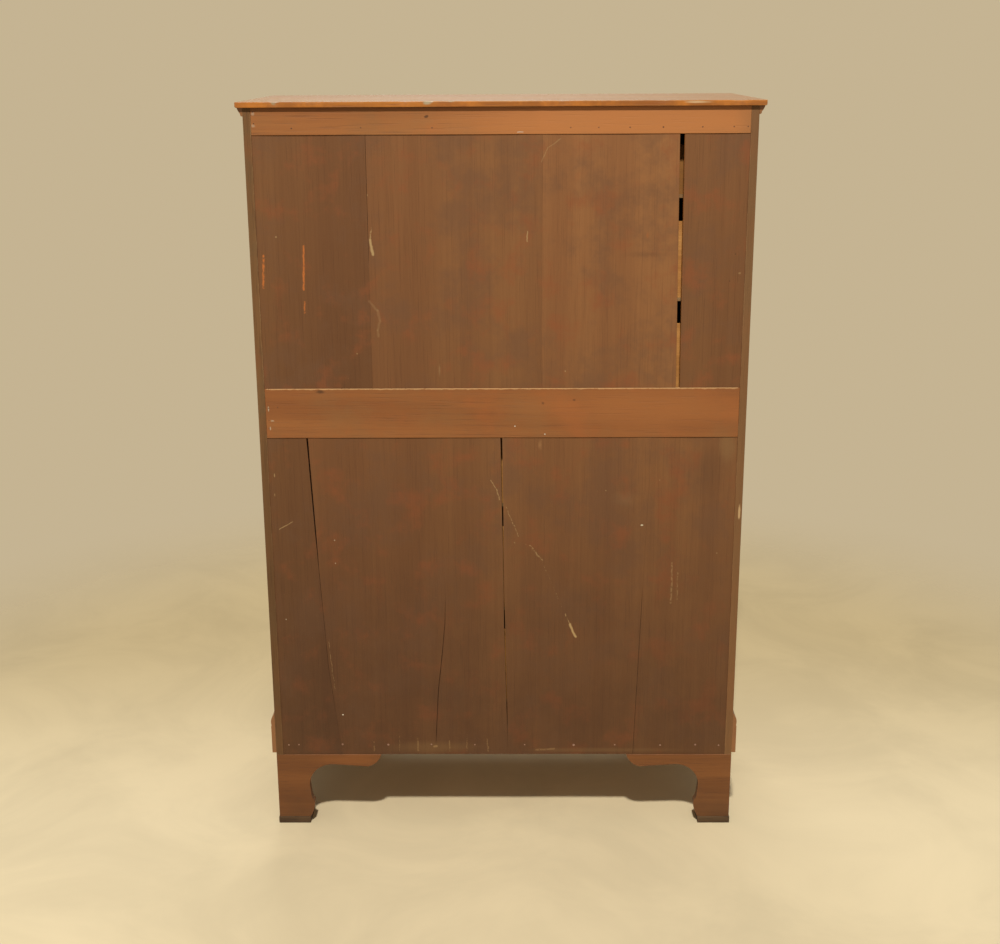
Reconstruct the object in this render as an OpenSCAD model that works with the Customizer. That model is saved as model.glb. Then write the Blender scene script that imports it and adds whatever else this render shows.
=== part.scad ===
// Tall chest of drawers (tallboy) in one carcase: two short drawers over five long ones,
// a moulded top, a moulded base band and four bracket feet.
// Facing the drawers, X runs to the right, Y runs to the back and Z runs up.
// The origin is on the floor, under the middle of the chest.

/* [Carcase] */
// Width over the two sides
carcase_w = 980; // [880:10:1200]
// Depth from the drawer fronts to the back edges of the sides
carcase_d = 440; // [400:10:560]
// Thickness of the sides
side_t = 20; // [17:1:28]
// Thickness of the bottom board
bottom_t = 18; // [14:1:24]
// Thickness of the board under the top, which ties the sides together
sub_top_t = 16; // [12:1:22]
// Height of the frieze rail over the short drawers
frieze_h = 37; // [24:1:70]
// Height of the base band's rail under the lowest drawer
base_rail_h = 62; // [40:1:90]
// Thickness of the upright front rails
rail_t = 20; // [14:1:28]
// Glue line between the pieces of one joint
glue = 0.1; // [0.05:0.05:0.3]

/* [Top and mouldings] */
// Thickness of the top board
top_t = 10.5; // [8:0.5:24]
// Overhang of the top at the front and the ends
top_overhang = 13; // [10:1:30]
// Overhang of the top behind the back
back_overhang = 7.5; // [2:0.5:20]
// Rounding of the upper edge of the top
top_arris = 1.5; // [0.5:0.5:4]
// Rounding of the lower edge of the top
top_under = 3; // [1:0.5:5]
// How far the cornice stands out under the top
cornice_out = 10.5; // [6:0.5:14]
// Height of the bead along the foot of the cornice
cornice_bead = 4; // [2:0.5:6]
// How far the base band stands out
band_out = 8.5; // [5:0.5:16]
// Height of the flat face of the base band
band_flat = 62; // [40:1:90]
// Height of the hollow moulding on top of the band
band_cove = 28; // [12:1:40]
// Height of the band's lower edge over the foot of the carcase
band_lift = 5; // [0:1:8]

/* [Back] */
// Thickness of the back rails
back_rail_t = 14; // [12:1:28]
// How far the back rails stand proud of the boards
rail_proud = 1.2; // [0.4:0.2:4]
// Thickness of the tongues by which the boards end behind the rails
tongue_t = 6; // [4:0.5:8]
// Clearance between the boards' shoulders and the rails
shoulder_gap = 0.4; // [0.2:0.1:1]
// Height of the top back rail
top_back_rail_h = 51.5; // [40:0.5:80]
// Height of the middle back rail
mid_back_rail_h = 102; // [60:1:140]
// Height of the middle back rail's lower edge over the floor
mid_back_rail_z = 870; // [700:1:1000]
// Lap of the boards in the rebates of the rails
back_lap = 20; // [10:1:24]
// Width of the rebate in the sides that holds the back
rebate_w = 5; // [3:1:10]

/* [Drawers] */
// Height of the opening for the short drawers
tier_1_h = 129; // [100:1:170]
// Height of the first long drawer's opening
tier_2_h = 185; // [140:1:240]
// Height of the second long drawer's opening
tier_3_h = 191; // [140:1:240]
// Height of the third long drawer's opening
tier_4_h = 201; // [140:1:240]
// Height of the fourth long drawer's opening
tier_5_h = 213; // [140:1:260]
// Height of the fifth long drawer's opening
tier_6_h = 194; // [140:1:260]
// Thickness of the dividers between the drawers
divider_t = 18; // [12:1:24]
// Depth of the dividers from front to back
divider_d = 70; // [50:1:110]
// Width of the post between the short drawers
post_w = 22; // [16:1:36]
// Width of the side runners
runner_w = 30; // [20:1:50]
// Width of the centre runner
centre_runner_w = 90; // [60:1:130]
// Height of the guide strip between the short drawers
guide_h = 16; // [8:1:30]
// Free space between the drawers and the back
drawer_back_gap = 30; // [10:1:60]
// Thickness of the drawer fronts
front_t = 20; // [16:1:26]
// Thickness of the drawer sides
lining_t = 10; // [7:1:14]
// Thickness of the drawer backs
drawer_back_t = 9; // [7:1:14]
// Thickness of the drawer bottoms
panel_t = 7; // [5:1:10]
// Height of the slips that carry the drawer bottoms
slip_h = 5.6; // [4.6:0.2:8]
// Width of those slips
slip_w = 12; // [8:1:20]
// How much lower the drawer sides are than the opening
side_drop = 4; // [2:1:12]
// How much lower the drawer backs are than the opening
back_drop = 22; // [10:1:32]
// Clearance under a drawer
run_gap = 0.4; // [0.3:0.1:1]
// Clearance at each end of a drawer
end_gap = 1; // [0.5:0.1:2]
// Clearance over a drawer front
head_gap = 1.4; // [0.8:0.1:3]
// Width of the cock bead round a drawer front
bead_w = 3.2; // [2:0.2:5]
// How deep the cock bead is let into the front
bead_d = 6; // [4:0.5:7]
// How far the bead stands proud of the front before its round nose
bead_proud = 0.8; // [0.2:0.1:2]
// Number of dovetails on each end of a short drawer's sides
short_tails = 3; // [2:1:4]
// Number of dovetails on each end of a long drawer's sides
long_tails = 4; // [3:1:6]
// Length of the dovetails that run into a drawer front
tail_l = 12; // [8:1:13]
// Width of the pins between the dovetails, where they are narrowest
tail_pin_w = 5; // [3:0.5:8]
// Size of a drawer stop across the chest
stop_w = 32; // [20:1:50]
// Height of a drawer stop
stop_h = 4.4; // [3:0.2:5]

/* [Brasses] */
// Distance of each handle from the middle of a long drawer
handle_x = 282; // [160:1:340]
// Distance between the two posts of a handle
handle_w = 88; // [64:1:110]
// Height of the pivots over the middle of the drawer front
handle_rise = 14; // [0:1:24]
// Distance from the drawer front to the pivot line
post_reach = 16.5; // [14:0.5:24]
// Radius of a post's ball
ball_r = 6.4; // [5.6:0.1:8]
// Radius of a post's neck
neck_r = 4; // [3:0.1:5]
// Length of the button in front of the ball
button_l = 1.6; // [0.8:0.2:4]
// Radius of the round plate behind each post
rose_r = 14; // [11:0.5:18]
// Thickness of that plate
rose_t = 4; // [2:0.5:6]
// Radius of the bolt behind a post
bolt_r = 2.5; // [1.5:0.1:3.5]
// Radius of the nut inside the drawer
nut_r = 7; // [5:0.5:10]
// Thickness of the nut
nut_t = 4; // [2:0.5:6]
// Clearance of a bolt in its hole
bolt_fit = 0.1; // [0.05:0.05:0.3]
// Radius of the bail's pivot pins
pin_r = 2; // [1.4:0.1:2.6]
// Clearance of a pin in its post
pin_fit = 0.08; // [0.02:0.01:0.1]
// Thickness of the bail at its necks
bail_neck_r = 2.6; // [2:0.1:3.4]
// Thickness of the bail in the middle of the grip
bail_grip_r = 3.8; // [2.6:0.1:5]
// Width of a lock
lock_w = 58; // [40:1:80]
// Height of a lock
lock_h = 36; // [26:1:50]
// Thickness of a lock
lock_t = 7; // [4:0.5:10]
// Height of a keyhole plate
key_plate_h = 24; // [16:1:34]

/* [Feet] */
// Height of the feet, floor to carcase
foot_h = 164; // [130:1:220]
// Thickness of the foot brackets
bracket_t = 19; // [14:1:26]
// Length of the front and back brackets
ear_l = 226; // [180:1:260]
// Length of the side brackets
side_ear_l = 176; // [160:1:190]
// Depth of a bracket's ear under the carcase
ear_h = 28.5; // [24:0.5:44]
// Rise of the arch over the ear's lowest point
arch_rise = 5; // [2:1:12]
// Width of the leg at its narrowest
leg_w = 69; // [56:1:84]
// Radius of the hollow between leg and ear
hollow_r = 50; // [40:1:56]
// Swell of the leg over its narrowest
leg_swell = 9; // [4:1:14]
// Height of the middle of that swell
swell_z = 52; // [40:1:56]
// Width of the corner block behind the brackets
block_w = 42; // [28:1:46]
// Height of the pad under a foot
pad_h = 15; // [8:1:24]
// How far a pad stands out past its foot
pad_out = 1.5; // [0:0.5:4]

/* [Hidden] */
$fn = 48;

polished = "#7a3b1c";
figured = "#8c4520";
back_brown = "#6b4026";
rail_brown = "#a5693c";
pine = "#c79f68";
oak = "#b98f5c";
worn_dark = "#4a2c1a";
brass = "#c9a24a";

// Depth over the brasses in front and the top's overhang behind
post_out = post_reach + ball_r + button_l;
total_d = post_out + carcase_d + back_overhang;
y_front = -total_d / 2 + post_out;
y_back = y_front + carcase_d;
x_out = carcase_w / 2;
x_in = x_out - side_t;
y_inner_back = y_back - back_rail_t;
y_boards = y_back - rail_proud;
y_tongue = y_inner_back + tongue_t;
drawer_l = carcase_d - back_rail_t - drawer_back_gap;
overlap = 2;

// Levels: tier 1 holds the short drawers and the last tier is the lowest
tier_h = [0, tier_1_h, tier_2_h, tier_3_h, tier_4_h, tier_5_h, tier_6_h];
lowest = len(tier_h) - 1;
function tier_floor(t) = t >= lowest
    ? foot_h + bottom_t + base_rail_h + divider_t
    : tier_floor(t + 1) + tier_h[t + 1] + divider_t;
function tier_head(t) = tier_floor(t) + tier_h[t];
frieze_z = tier_head(1);
sub_top_z = frieze_z + frieze_h;
top_z = sub_top_z + sub_top_t;
band_z = foot_h + band_lift;

// A drawer is its tier and its column: -1 left, 1 right, 0 the full width
short_left = [1, -1];
short_right = [1, 1];
long_1 = [2, 0];
long_2 = [3, 0];
long_3 = [4, 0];
long_4 = [5, 0];
long_5 = [6, 0];
function bay_left(d) = d[1] > 0 ? post_w / 2 : -x_in;
function bay_right(d) = d[1] < 0 ? -post_w / 2 : x_in;
function bay_middle(d) = (bay_left(d) + bay_right(d)) / 2;
function front_w(d) = bay_right(d) - bay_left(d) - 2 * end_gap;
function front_z(d) = tier_floor(d[0]) + run_gap;
function front_h(d) = tier_h[d[0]] - run_gap - head_gap;
function pivot_z(d) = front_z(d) + front_h(d) / 2 + handle_rise;
function handle_places(d) = d[1] == 0 ? [-handle_x, handle_x] : [bay_middle(d)];

// Points of the arc from a to b: a positive radius bulges to the left of the way there
function arc(a, b, r, n = 6) =
    let (d = b - a,
         half = norm(d) / 2,
         left = [-d[1], d[0]] / norm(d),
         side = sign(r),
         c = (a + b) / 2 - side * left * sqrt(r * r - half * half),
         from = atan2(a[1] - c[1], a[0] - c[0]),
         sweep = -side * 2 * asin(half / abs(r)))
    [for (i = [0:n]) c + abs(r) * [cos(from + sweep * i / n), sin(from + sweep * i / n)]];

// A box from its lowest corner to its highest
module block(low, high) {
    translate(low) cube(high - low);
}

// A board outline drawn in X and Z, thick in Y
module upright(y, thick) {
    translate([0, y + thick, 0]) rotate([90, 0, 0]) linear_extrude(thick) children();
}

// Carcase

module carcase_side(hand) {
    color(polished)
    difference() {
        block([min(hand * x_in, hand * x_out), y_front, foot_h],
              [max(hand * x_in, hand * x_out), y_back, top_z]);
        block([hand * x_in - rebate_w, y_inner_back, foot_h - overlap],
              [hand * x_in + rebate_w, y_back + overlap, top_z + overlap]);
    }
}

module sub_top() {
    color(pine) block([-x_in, y_front, sub_top_z], [x_in, y_inner_back, top_z]);
}

module bottom_board() {
    color(pine) block([-x_in, y_front, foot_h], [x_in, y_inner_back, foot_h + bottom_t]);
}

// The frieze, the rail behind the base band and the divider under each tier
module front_rails() {
    color(polished) {
        block([-x_in, y_front, frieze_z], [x_in, y_front + rail_t, sub_top_z]);
        block([-x_in, y_front, foot_h + bottom_t],
              [x_in, y_front + rail_t, foot_h + bottom_t + base_rail_h - glue]);
        for (t = [1:lowest])
            block([-x_in, y_front, tier_floor(t) - divider_t], [x_in, y_front + divider_d, tier_floor(t)]);
    }
}

module centre_post() {
    color(polished)
    block([-post_w / 2, y_front, tier_floor(1)], [post_w / 2, y_front + divider_d, tier_head(1)]);
}

// Side runners in every tier, the centre runner with its guide, and the kickers over the short drawers
module drawer_runners() {
    color(pine) {
        for (t = [1:lowest], hand = [-1, 1])
            translate([hand * (x_in - runner_w / 2), 0, 0])
            block([-runner_w / 2, y_front + divider_d, tier_floor(t) - divider_t],
                  [runner_w / 2, y_inner_back, tier_floor(t)]);
        for (hand = [-1, 1])
            translate([hand * (x_in - runner_w / 2), 0, 0])
            block([-runner_w / 2, y_front + rail_t, frieze_z], [runner_w / 2, y_inner_back, sub_top_z]);
        block([-centre_runner_w / 2, y_front + divider_d, tier_floor(1) - divider_t],
              [centre_runner_w / 2, y_inner_back, tier_floor(1)]);
        block([-post_w / 2, y_front + divider_d, tier_floor(1) + glue],
              [post_w / 2, y_inner_back, tier_floor(1) + guide_h]);
        block([-centre_runner_w / 2, y_front + rail_t, frieze_z],
              [centre_runner_w / 2, y_inner_back, sub_top_z]);
    }
}

// Two small blocks on each divider that the drawer front closes against
module drawer_stops() {
    stop_gap = 0.3;
    stop_d = 14;
    color(pine)
    for (d = [short_left, short_right, long_1, long_2, long_3, long_4, long_5], side = [-1, 1])
        translate([bay_middle(d) + side * front_w(d) / 4, y_front + front_t + stop_gap, tier_floor(d[0])])
        block([-stop_w / 2, 0, 0], [stop_w / 2, stop_d, stop_h]);
}

// Top and mouldings

// One edge of the top, rounded over above and below
function rounded_edge(x, side) = side > 0
    ? concat(arc([x - top_under, 0], [x, top_under], -top_under, 4),
             arc([x, top_t - top_arris], [x - top_arris, top_t], -top_arris, 4))
    : concat(arc([x + top_arris, top_t], [x, top_t - top_arris], -top_arris, 4),
             arc([x, top_under], [x + top_under, 0], -top_under, 4));

module top_board() {
    x_edge = x_out + top_overhang;
    y_edge = y_front - top_overhang;
    y_tail = y_back + back_overhang;
    color(polished)
    intersection() {
        translate([0, y_tail, top_z]) rotate([90, 0, 0]) linear_extrude(y_tail - y_edge)
            polygon(concat(rounded_edge(x_edge, 1), rounded_edge(-x_edge, -1)));
        translate([-x_edge - overlap, 0, top_z]) rotate([90, 0, 90]) linear_extrude(2 * (x_edge + overlap))
            polygon(concat([[y_tail, 0], [y_tail, top_t]], rounded_edge(y_edge, -1)));
    }
}

// A moulding's section is drawn with the carcase's face at 0 and runs out to the right.
// It goes along the front and both ends, mitred at the front corners and square at the back.
module moulding_round(out, high) {
    reach = x_out + out;
    intersection() {
        translate([-reach, y_front, 0])
            rotate([90, 0, 90]) linear_extrude(2 * reach) mirror([1, 0]) children();
        linear_extrude(high)
            polygon([[glue - x_out, y_front], [glue - reach - out, y_front - 2 * out],
                     [reach + out - glue, y_front - 2 * out], [x_out - glue, y_front]]);
    }
    for (left = [0, 1])
        mirror([left, 0, 0])
        intersection() {
            translate([x_out, y_back, 0]) rotate([90, 0, 0]) linear_extrude(carcase_d + out) children();
            linear_extrude(high)
                polygon([[x_out, y_front], [reach + out, y_front - 2 * out],
                         [reach + out, y_back + overlap], [x_out, y_back + overlap]]);
        }
}

// A bead along the foot, then a hollow that spreads out to the top
module cornice_section() {
    bead_out = cornice_out * 0.4;
    polygon(concat([[0, 0]],
                   arc([bead_out - cornice_bead / 2, 0], [bead_out, cornice_bead], -cornice_bead, 6),
                   arc([bead_out, cornice_bead + 0.5], [cornice_out, sub_top_t], -2 * sub_top_t, 10),
                   [[0, sub_top_t]]));
}

module cornice_moulding() {
    color(polished)
    translate([0, 0, sub_top_z]) moulding_round(cornice_out, sub_top_t) cornice_section();
}

// A flat face with a hollow over it that runs back to the carcase
module band_section() {
    lip = 1;
    polygon(concat([[0, 0], [band_out, 0]],
                   arc([band_out, band_flat], [band_out - lip, band_flat + lip], 1.2 * lip, 3),
                   arc([band_out - lip, band_flat + 2 * lip], [lip, band_flat + band_cove], -band_cove, 12),
                   [[0, band_flat + band_cove]]));
}

module base_moulding() {
    color(polished)
    translate([0, 0, band_z]) moulding_round(band_out, band_flat + band_cove) band_section();
}

// Back

// A joint between two boards: its height as a share of the panel, its place as a share of
// the half width, and the width of the gap there
upper_joints = [
    [[0, -0.740, 5.7], [1, -0.728, 7.5]],
    [[0, -0.168, 0.4], [1, -0.168, 0.4]],
    [[0, 0.544, 0.6], [1, 0.544, 0.6]]
];
lower_joints = [
    [[0, -0.585, 0.6], [1, -0.637, 0.5]],
    [[0, -0.021, 0.5], [0.12, -0.017, 1.2], [0.42, -0.007, 2.4], [0.5, -0.005, 1], [0.64, -0.003, 1],
     [0.7, -0.002, 2.6], [1, 0.004, 3.8]],
    [[0, 0.730, 0.5], [0.28, 0.779, 0.6], [0.58, 0.803, 0.8], [0.68, 0.810, 2.4], [1, 0.832, 3.6]]
];
x_back = x_in + rebate_w;
top_back_rail_z = top_z - top_back_rail_h;
mid_back_rail_top = mid_back_rail_z + mid_back_rail_h;

// One edge of a board, up its height, on the given side of a joint
function joint_edge(joint, z0, z1, side) =
    [for (p = joint) [p[1] * x_back + side * p[2] / 2, z0 + p[0] * (z1 - z0)]];

function reversed(list) = [for (i = [len(list) - 1:-1:0]) list[i]];

// Board i of a panel, counted from the left, between the joints on either side of it.
// Its ends thin down to tongues behind the rails, the lower one where low_lap isn't 0.
module back_board(joints, i, z0, z1, low_lap, tint) {
    outer = [[[0, -1, 0], [1, -1, 0]]];
    far = [[[0, 1, 0], [1, 1, 0]]];
    edges = concat(outer, joints, far);
    sunk = [z1 - back_lap - shoulder_gap, z1 + overlap];
    low_sunk = [z0 - overlap, z0 + low_lap + shoulder_gap];
    color(tint)
    difference() {
        upright(y_inner_back, y_boards - y_inner_back)
            polygon(concat(joint_edge(edges[i - 1], z0, z1, 1), reversed(joint_edge(edges[i], z0, z1, -1))));
        for (end = low_lap > 0 ? [sunk, low_sunk] : [sunk])
            block([-x_back - overlap, y_tongue, end[0]], [x_back + overlap, y_boards + overlap, end[1]]);
    }
}

module upper_back_board(i) {
    back_board(upper_joints, i, mid_back_rail_top - back_lap, top_back_rail_z + back_lap, back_lap,
               back_brown);
}

module lower_back_board(i) {
    back_board(lower_joints, i, foot_h, mid_back_rail_z + back_lap, 0, back_brown);
}

module top_back_rail() {
    color(rail_brown)
    difference() {
        block([-x_back, y_inner_back, top_back_rail_z], [x_back, y_back, top_z]);
        block([-x_back - overlap, y_inner_back - overlap, top_back_rail_z - overlap],
              [x_back + overlap, y_tongue, top_back_rail_z + back_lap]);
    }
}

module middle_back_rail() {
    color(rail_brown)
    difference() {
        block([-x_back, y_inner_back, mid_back_rail_z], [x_back, y_back, mid_back_rail_top]);
        for (z = [mid_back_rail_z, mid_back_rail_top])
            block([-x_back - overlap, y_inner_back - overlap, z - back_lap],
                  [x_back + overlap, y_tongue, z + back_lap]);
    }
}

// Feet

// Outline of a bracket: X runs in from the corner of the chest
module bracket_outline(length) {
    ear_low = foot_h - ear_h;
    arch_z = ear_low + arch_rise;
    arch_x = leg_w + hollow_r + 3;
    ear_nose = 4;
    ear_round = 1.35 * ear_h;
    ear_foot = length - ear_h;
    ankle = [leg_w + 2, arch_z - hollow_r - 18];
    swell = [leg_w + leg_swell, swell_z];
    polygon(concat([[0, pad_h], [0, foot_h], [length, foot_h]],
                   arc([length - 1, foot_h - ear_nose], [ear_foot, ear_low], ear_round, 12),
                   arc([arch_x, arch_z], [leg_w, arch_z - hollow_r], -hollow_r, 16),
                   arc(ankle, swell, -30, 6),
                   arc(swell + [0, -8], [leg_w - 1, pad_h], 60, 5)));
}

// One foot, with the corner of the chest at the origin and the chest in the positive quarter
module foot() {
    color(polished) {
        intersection() {
            upright(0, bracket_t) bracket_outline(ear_l);
            linear_extrude(foot_h + overlap)
                polygon([[glue, 0], [2 * ear_l, 0], [2 * ear_l, 2 * ear_l - glue]]);
        }
        intersection() {
            mirror([1, -1, 0]) upright(0, bracket_t) bracket_outline(side_ear_l);
            linear_extrude(foot_h + overlap)
                polygon([[0, 0], [2 * ear_l, 2 * ear_l], [0, 2 * ear_l]]);
        }
    }
    inner = bracket_t + glue;
    color(pine) block([inner, inner, pad_h], [inner + block_w, inner + block_w, foot_h]);
}

// Puts its child at one corner of the chest: side -1 is the left, end -1 is the front
module at_corner(side, end) {
    translate([side * x_out, end < 0 ? y_front : y_back, 0])
    mirror([side > 0 ? 1 : 0, 0, 0])
    mirror([0, end > 0 ? 1 : 0, 0])
    children();
}

module foot_pads() {
    color(worn_dark)
    for (side = [-1, 1], end = [-1, 1])
        at_corner(side, end)
        block([-pad_out, -pad_out, 0], [leg_w - 1, leg_w - 1, pad_h]);
}

// Drawers

// Section of a cock bead, drawn in Y and Z, with its round nose to the front
module bead_section() {
    polygon(concat(arc([-bead_proud, 0], [-bead_proud, bead_w], 0.501 * bead_w, 6),
                   [[bead_d, bead_w], [bead_d, 0]]));
}

// The strip of bead along a lower edge of the given length, mitred at both ends
module bead_strip(length) {
    intersection() {
        rotate([90, 0, 90]) linear_extrude(length) bead_section();
        upright(-2 * bead_w, bead_d + 3 * bead_w)
            polygon([[glue, 0], [length - glue, 0],
                     [length - glue - bead_w, bead_w], [glue + bead_w, bead_w]]);
    }
}

module drawer_front(d) {
    w = front_w(d);
    h = front_h(d);
    z = front_z(d);
    edge = bead_w + glue;
    translate([bay_middle(d) - w / 2, y_front, z]) {
        color(figured)
        difference() {
            union() {
                block([edge, 0, edge], [w - edge, front_t, h - edge]);
                block([0, bead_d + glue, 0], [w, front_t, h]);
            }
            for (x = handle_places(d), side = [-1, 1])
                translate([x + side * handle_w / 2 - bay_middle(d) + w / 2, -overlap, pivot_z(d) - z])
                rotate([-90, 0, 0]) cylinder(r = bolt_r + bolt_fit, h = front_t + 2 * overlap);
            translate([w / 2, 0, key_z(d) - z])
                upright(-overlap, front_t + 2 * overlap) keyhole();
            for (x = [-overlap, w - lining_t - glue])
                translate([x, front_t, 0])
                across(lining_t + glue + overlap)
                tail_row(tail_count(d), 0, tier_head(d[0]) - side_drop - z, tail_l, glue);
        }
        color(polished) {
            bead_strip(w);
            translate([0, 0, h]) mirror([0, 0, 1]) bead_strip(w);
            mirror([1, 0, -1]) bead_strip(h);
            translate([w, 0, 0]) mirror([1, 0, 0]) mirror([1, 0, -1]) bead_strip(h);
        }
    }
}

// An outline drawn in Y and Z, thick across the chest
module across(thick) {
    rotate([90, 0, 90]) linear_extrude(thick) children();
}

// The dovetails along the end of a drawer side, which run forward from 0 and widen to their tips.
// With a fit they are the sockets for them.
module tail_row(count, low, high, length, fit = 0) {
    slope = 6;
    pitch = (high - low - tail_pin_w) / count;
    flare = length / slope;
    for (i = [0:count - 1]) {
        z0 = low + tail_pin_w + i * pitch - fit;
        z1 = low + (i + 1) * pitch + fit;
        polygon([[overlap, z0 + flare], [0, z0 + flare], [-length - fit, z0],
                 [-length - fit, z1], [0, z1 - flare], [overlap, z1 - flare]]);
    }
}

function tail_count(d) = d[1] == 0 ? long_tails : short_tails;

// The dovetails at the back, which run through the thickness of the drawer back
module back_tails(d, fit = 0) {
    translate([y_front + drawer_l - drawer_back_t, 0])
        mirror([1, 0])
        tail_row(tail_count(d), drawer_back_z(d), tier_head(d[0]) - back_drop, drawer_back_t, fit);
}

function panel_z(d) = front_z(d) + slip_h;
function drawer_back_z(d) = panel_z(d) + panel_t + glue;

// A drawer side, dovetailed at both ends
module drawer_side(d) {
    y1 = y_front + drawer_l;
    head = tier_head(d[0]);
    translate([y_front + front_t, 0])
        tail_row(tail_count(d), front_z(d), head - side_drop, tail_l);
    difference() {
        translate([y_front + front_t + glue, front_z(d)])
            square([drawer_l - front_t - glue, head - side_drop - front_z(d)]);
        translate([y1 - drawer_back_t - glue, drawer_back_z(d) - glue])
            square([drawer_back_t + glue + overlap, head - back_drop - drawer_back_z(d) + 2 * glue]);
    }
    back_tails(d);
}

// Sides, back, bottom and the slips under the bottom
module drawer_box(d) {
    left = bay_left(d) + end_gap;
    right = bay_right(d) - end_gap;
    in_left = left + lining_t + glue;
    in_right = right - lining_t - glue;
    y0 = y_front + front_t + glue;
    y1 = y_front + drawer_l;
    color(oak) {
        for (x = [left, right - lining_t])
            translate([x, 0, 0]) across(lining_t) drawer_side(d);
        for (x = [in_left, in_right - slip_w])
            block([x, y0, front_z(d)], [x + slip_w, y1, panel_z(d) - glue]);
        block([in_left, y0, panel_z(d)], [in_right, y1, panel_z(d) + panel_t]);
        difference() {
            block([left, y1 - drawer_back_t, drawer_back_z(d)], [right, y1, tier_head(d[0]) - back_drop]);
            for (x = [left - overlap, right - lining_t - glue])
                translate([x, 0, 0]) across(lining_t + glue + overlap) back_tails(d, glue);
        }
    }
}

// Brasses

// A turned post with its bolt, drilled across the ball for the bail; it points to the front
module post() {
    socket_r = pin_r + pin_fit;
    wall = 1.2;
    difference() {
        union() {
            rotate([90, 0, 0]) cylinder(r = neck_r, h = post_reach - socket_r - wall);
            translate([0, -post_reach, 0]) rotate([90, 0, 0]) rotate(45) sphere(r = ball_r);
            translate([0, -post_reach - socket_r - wall, 0])
                rotate([90, 0, 0]) cylinder(r = neck_r / 2, h = ball_r + button_l - socket_r - wall);
            translate([0, -overlap, 0])
                rotate([-90, 0, 0]) cylinder(r = bolt_r, h = overlap + front_t + nut_t);
        }
        translate([-2 * ball_r, -post_reach, 0]) rotate([0, 90, 0]) cylinder(r = socket_r, h = 4 * ball_r);
    }
}

// The turned plate behind a post: a raised rim, a hollow and a boss round the neck
module rose() {
    rim = rose_r * 0.16;
    boss = neck_r + 2.5;
    fit = 0.1;
    rotate([90, 0, 0])
    rotate_extrude()
        polygon(concat([[neck_r + fit, 0], [rose_r, 0]],
                       arc([rose_r, rose_t * 0.45], [rose_r - rim, rose_t * 0.55], rim, 3),
                       arc([rose_r - rim - 0.4, rose_t * 0.4], [boss, rose_t * 0.7], -rose_r, 4),
                       [[boss - 0.6, rose_t], [neck_r + fit, rose_t]]));
}

module nut() {
    rotate([-90, 0, 0])
    difference() {
        cylinder(r = nut_r, h = nut_t);
        translate([0, 0, -overlap]) cylinder(r = bolt_r + bolt_fit, h = nut_t + 2 * overlap);
    }
}

// Height of the middle of a drawer's keyhole
function key_z(d) = front_z(d) + front_h(d) - bead_w - key_plate_h * 0.7;

// Outline of a keyhole, drawn in X and Z
module keyhole() {
    eye_r = 2.2;
    translate([0, eye_r]) circle(r = eye_r);
    translate([-eye_r / 2, -2.4 * eye_r]) square([eye_r, 3 * eye_r]);
}

// A pointed oval plate round the keyhole, flat on the drawer front
module key_plate() {
    thick = 1;
    tip = [0, key_plate_h / 2];
    flank_r = 0.72 * key_plate_h;
    upright(-thick, thick)
    difference() {
        polygon(concat(arc(-tip, tip, flank_r, 12), arc(tip, -tip, flank_r, 12)));
        keyhole();
    }
}

module drawer_brasses(d) {
    lock_gap = 0.2;
    inside = y_front + front_t;
    head = front_z(d) + front_h(d);
    color(brass) {
        for (x = handle_places(d), side = [-1, 1])
            translate([x + side * handle_w / 2, 0, pivot_z(d)]) {
                translate([0, y_front, 0]) post();
                translate([0, y_front, 0]) rose();
                translate([0, inside, 0]) nut();
            }
        translate([bay_middle(d), y_front, key_z(d)]) key_plate();
        block([bay_middle(d) - lock_w / 2, inside, head - lock_h - lock_gap],
              [bay_middle(d) + lock_w / 2, inside + lock_t, head - lock_gap]);
    }
}

// Path of half a bail, from its shoulder at a post round to the middle of the grip, as a walk
// of arcs: each step is the angle turned and the radius, and a negative angle turns right
bail_steps = [[-150, 9], [35, 16], [-57, 20]];
bail_gap = 0.6;
function step_end(p, way, step) =
    let (side = sign(step[0]),
         c = p + side * step[1] * [-sin(way), cos(way)])
    c + side * step[1] * [sin(way + step[0]), -cos(way + step[0])];
function walk(p, way, steps, i = 0) = i == len(steps)
    ? [concat(p, way)]
    : let (n = ceil(abs(steps[i][0]) / 22))
      concat([for (k = [0:n - 1]) concat(step_end(p, way, [steps[i][0] * k / n, steps[i][1]]),
                                         way + steps[i][0] * k / n)],
             walk(step_end(p, way, steps[i]), way + steps[i][0], steps, i + 1));

// Each place on the path is [x, z, direction]
function half_bail() =
    let (shoulder = [handle_w / 2 + ball_r + bail_gap, 0],
         neck = walk(shoulder, 0, bail_steps),
         last = neck[len(neck) - 1],
         sag = last[2] + 180,
         grip = [-sag, last[0] / sin(sag)])
    concat(neck, [for (k = [1:3])
        concat(step_end([last[0], last[1]], last[2], [grip[0] * k / 3, grip[1]]), last[2] - sag * k / 3)]);

function bail_path() =
    let (right = half_bail(), n = len(right))
    concat(right, [for (i = [n - 2:-1:0]) [-right[i][0], right[i][1], -180 - right[i][2] - 180]]);

// Radius of the bail: full in the middle of the grip and slim at the necks
function bail_r(x) =
    bail_neck_r + (bail_grip_r - bail_neck_r) * pow(max(0, cos(180 * x / (handle_w + 30))), 1.5);

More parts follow.
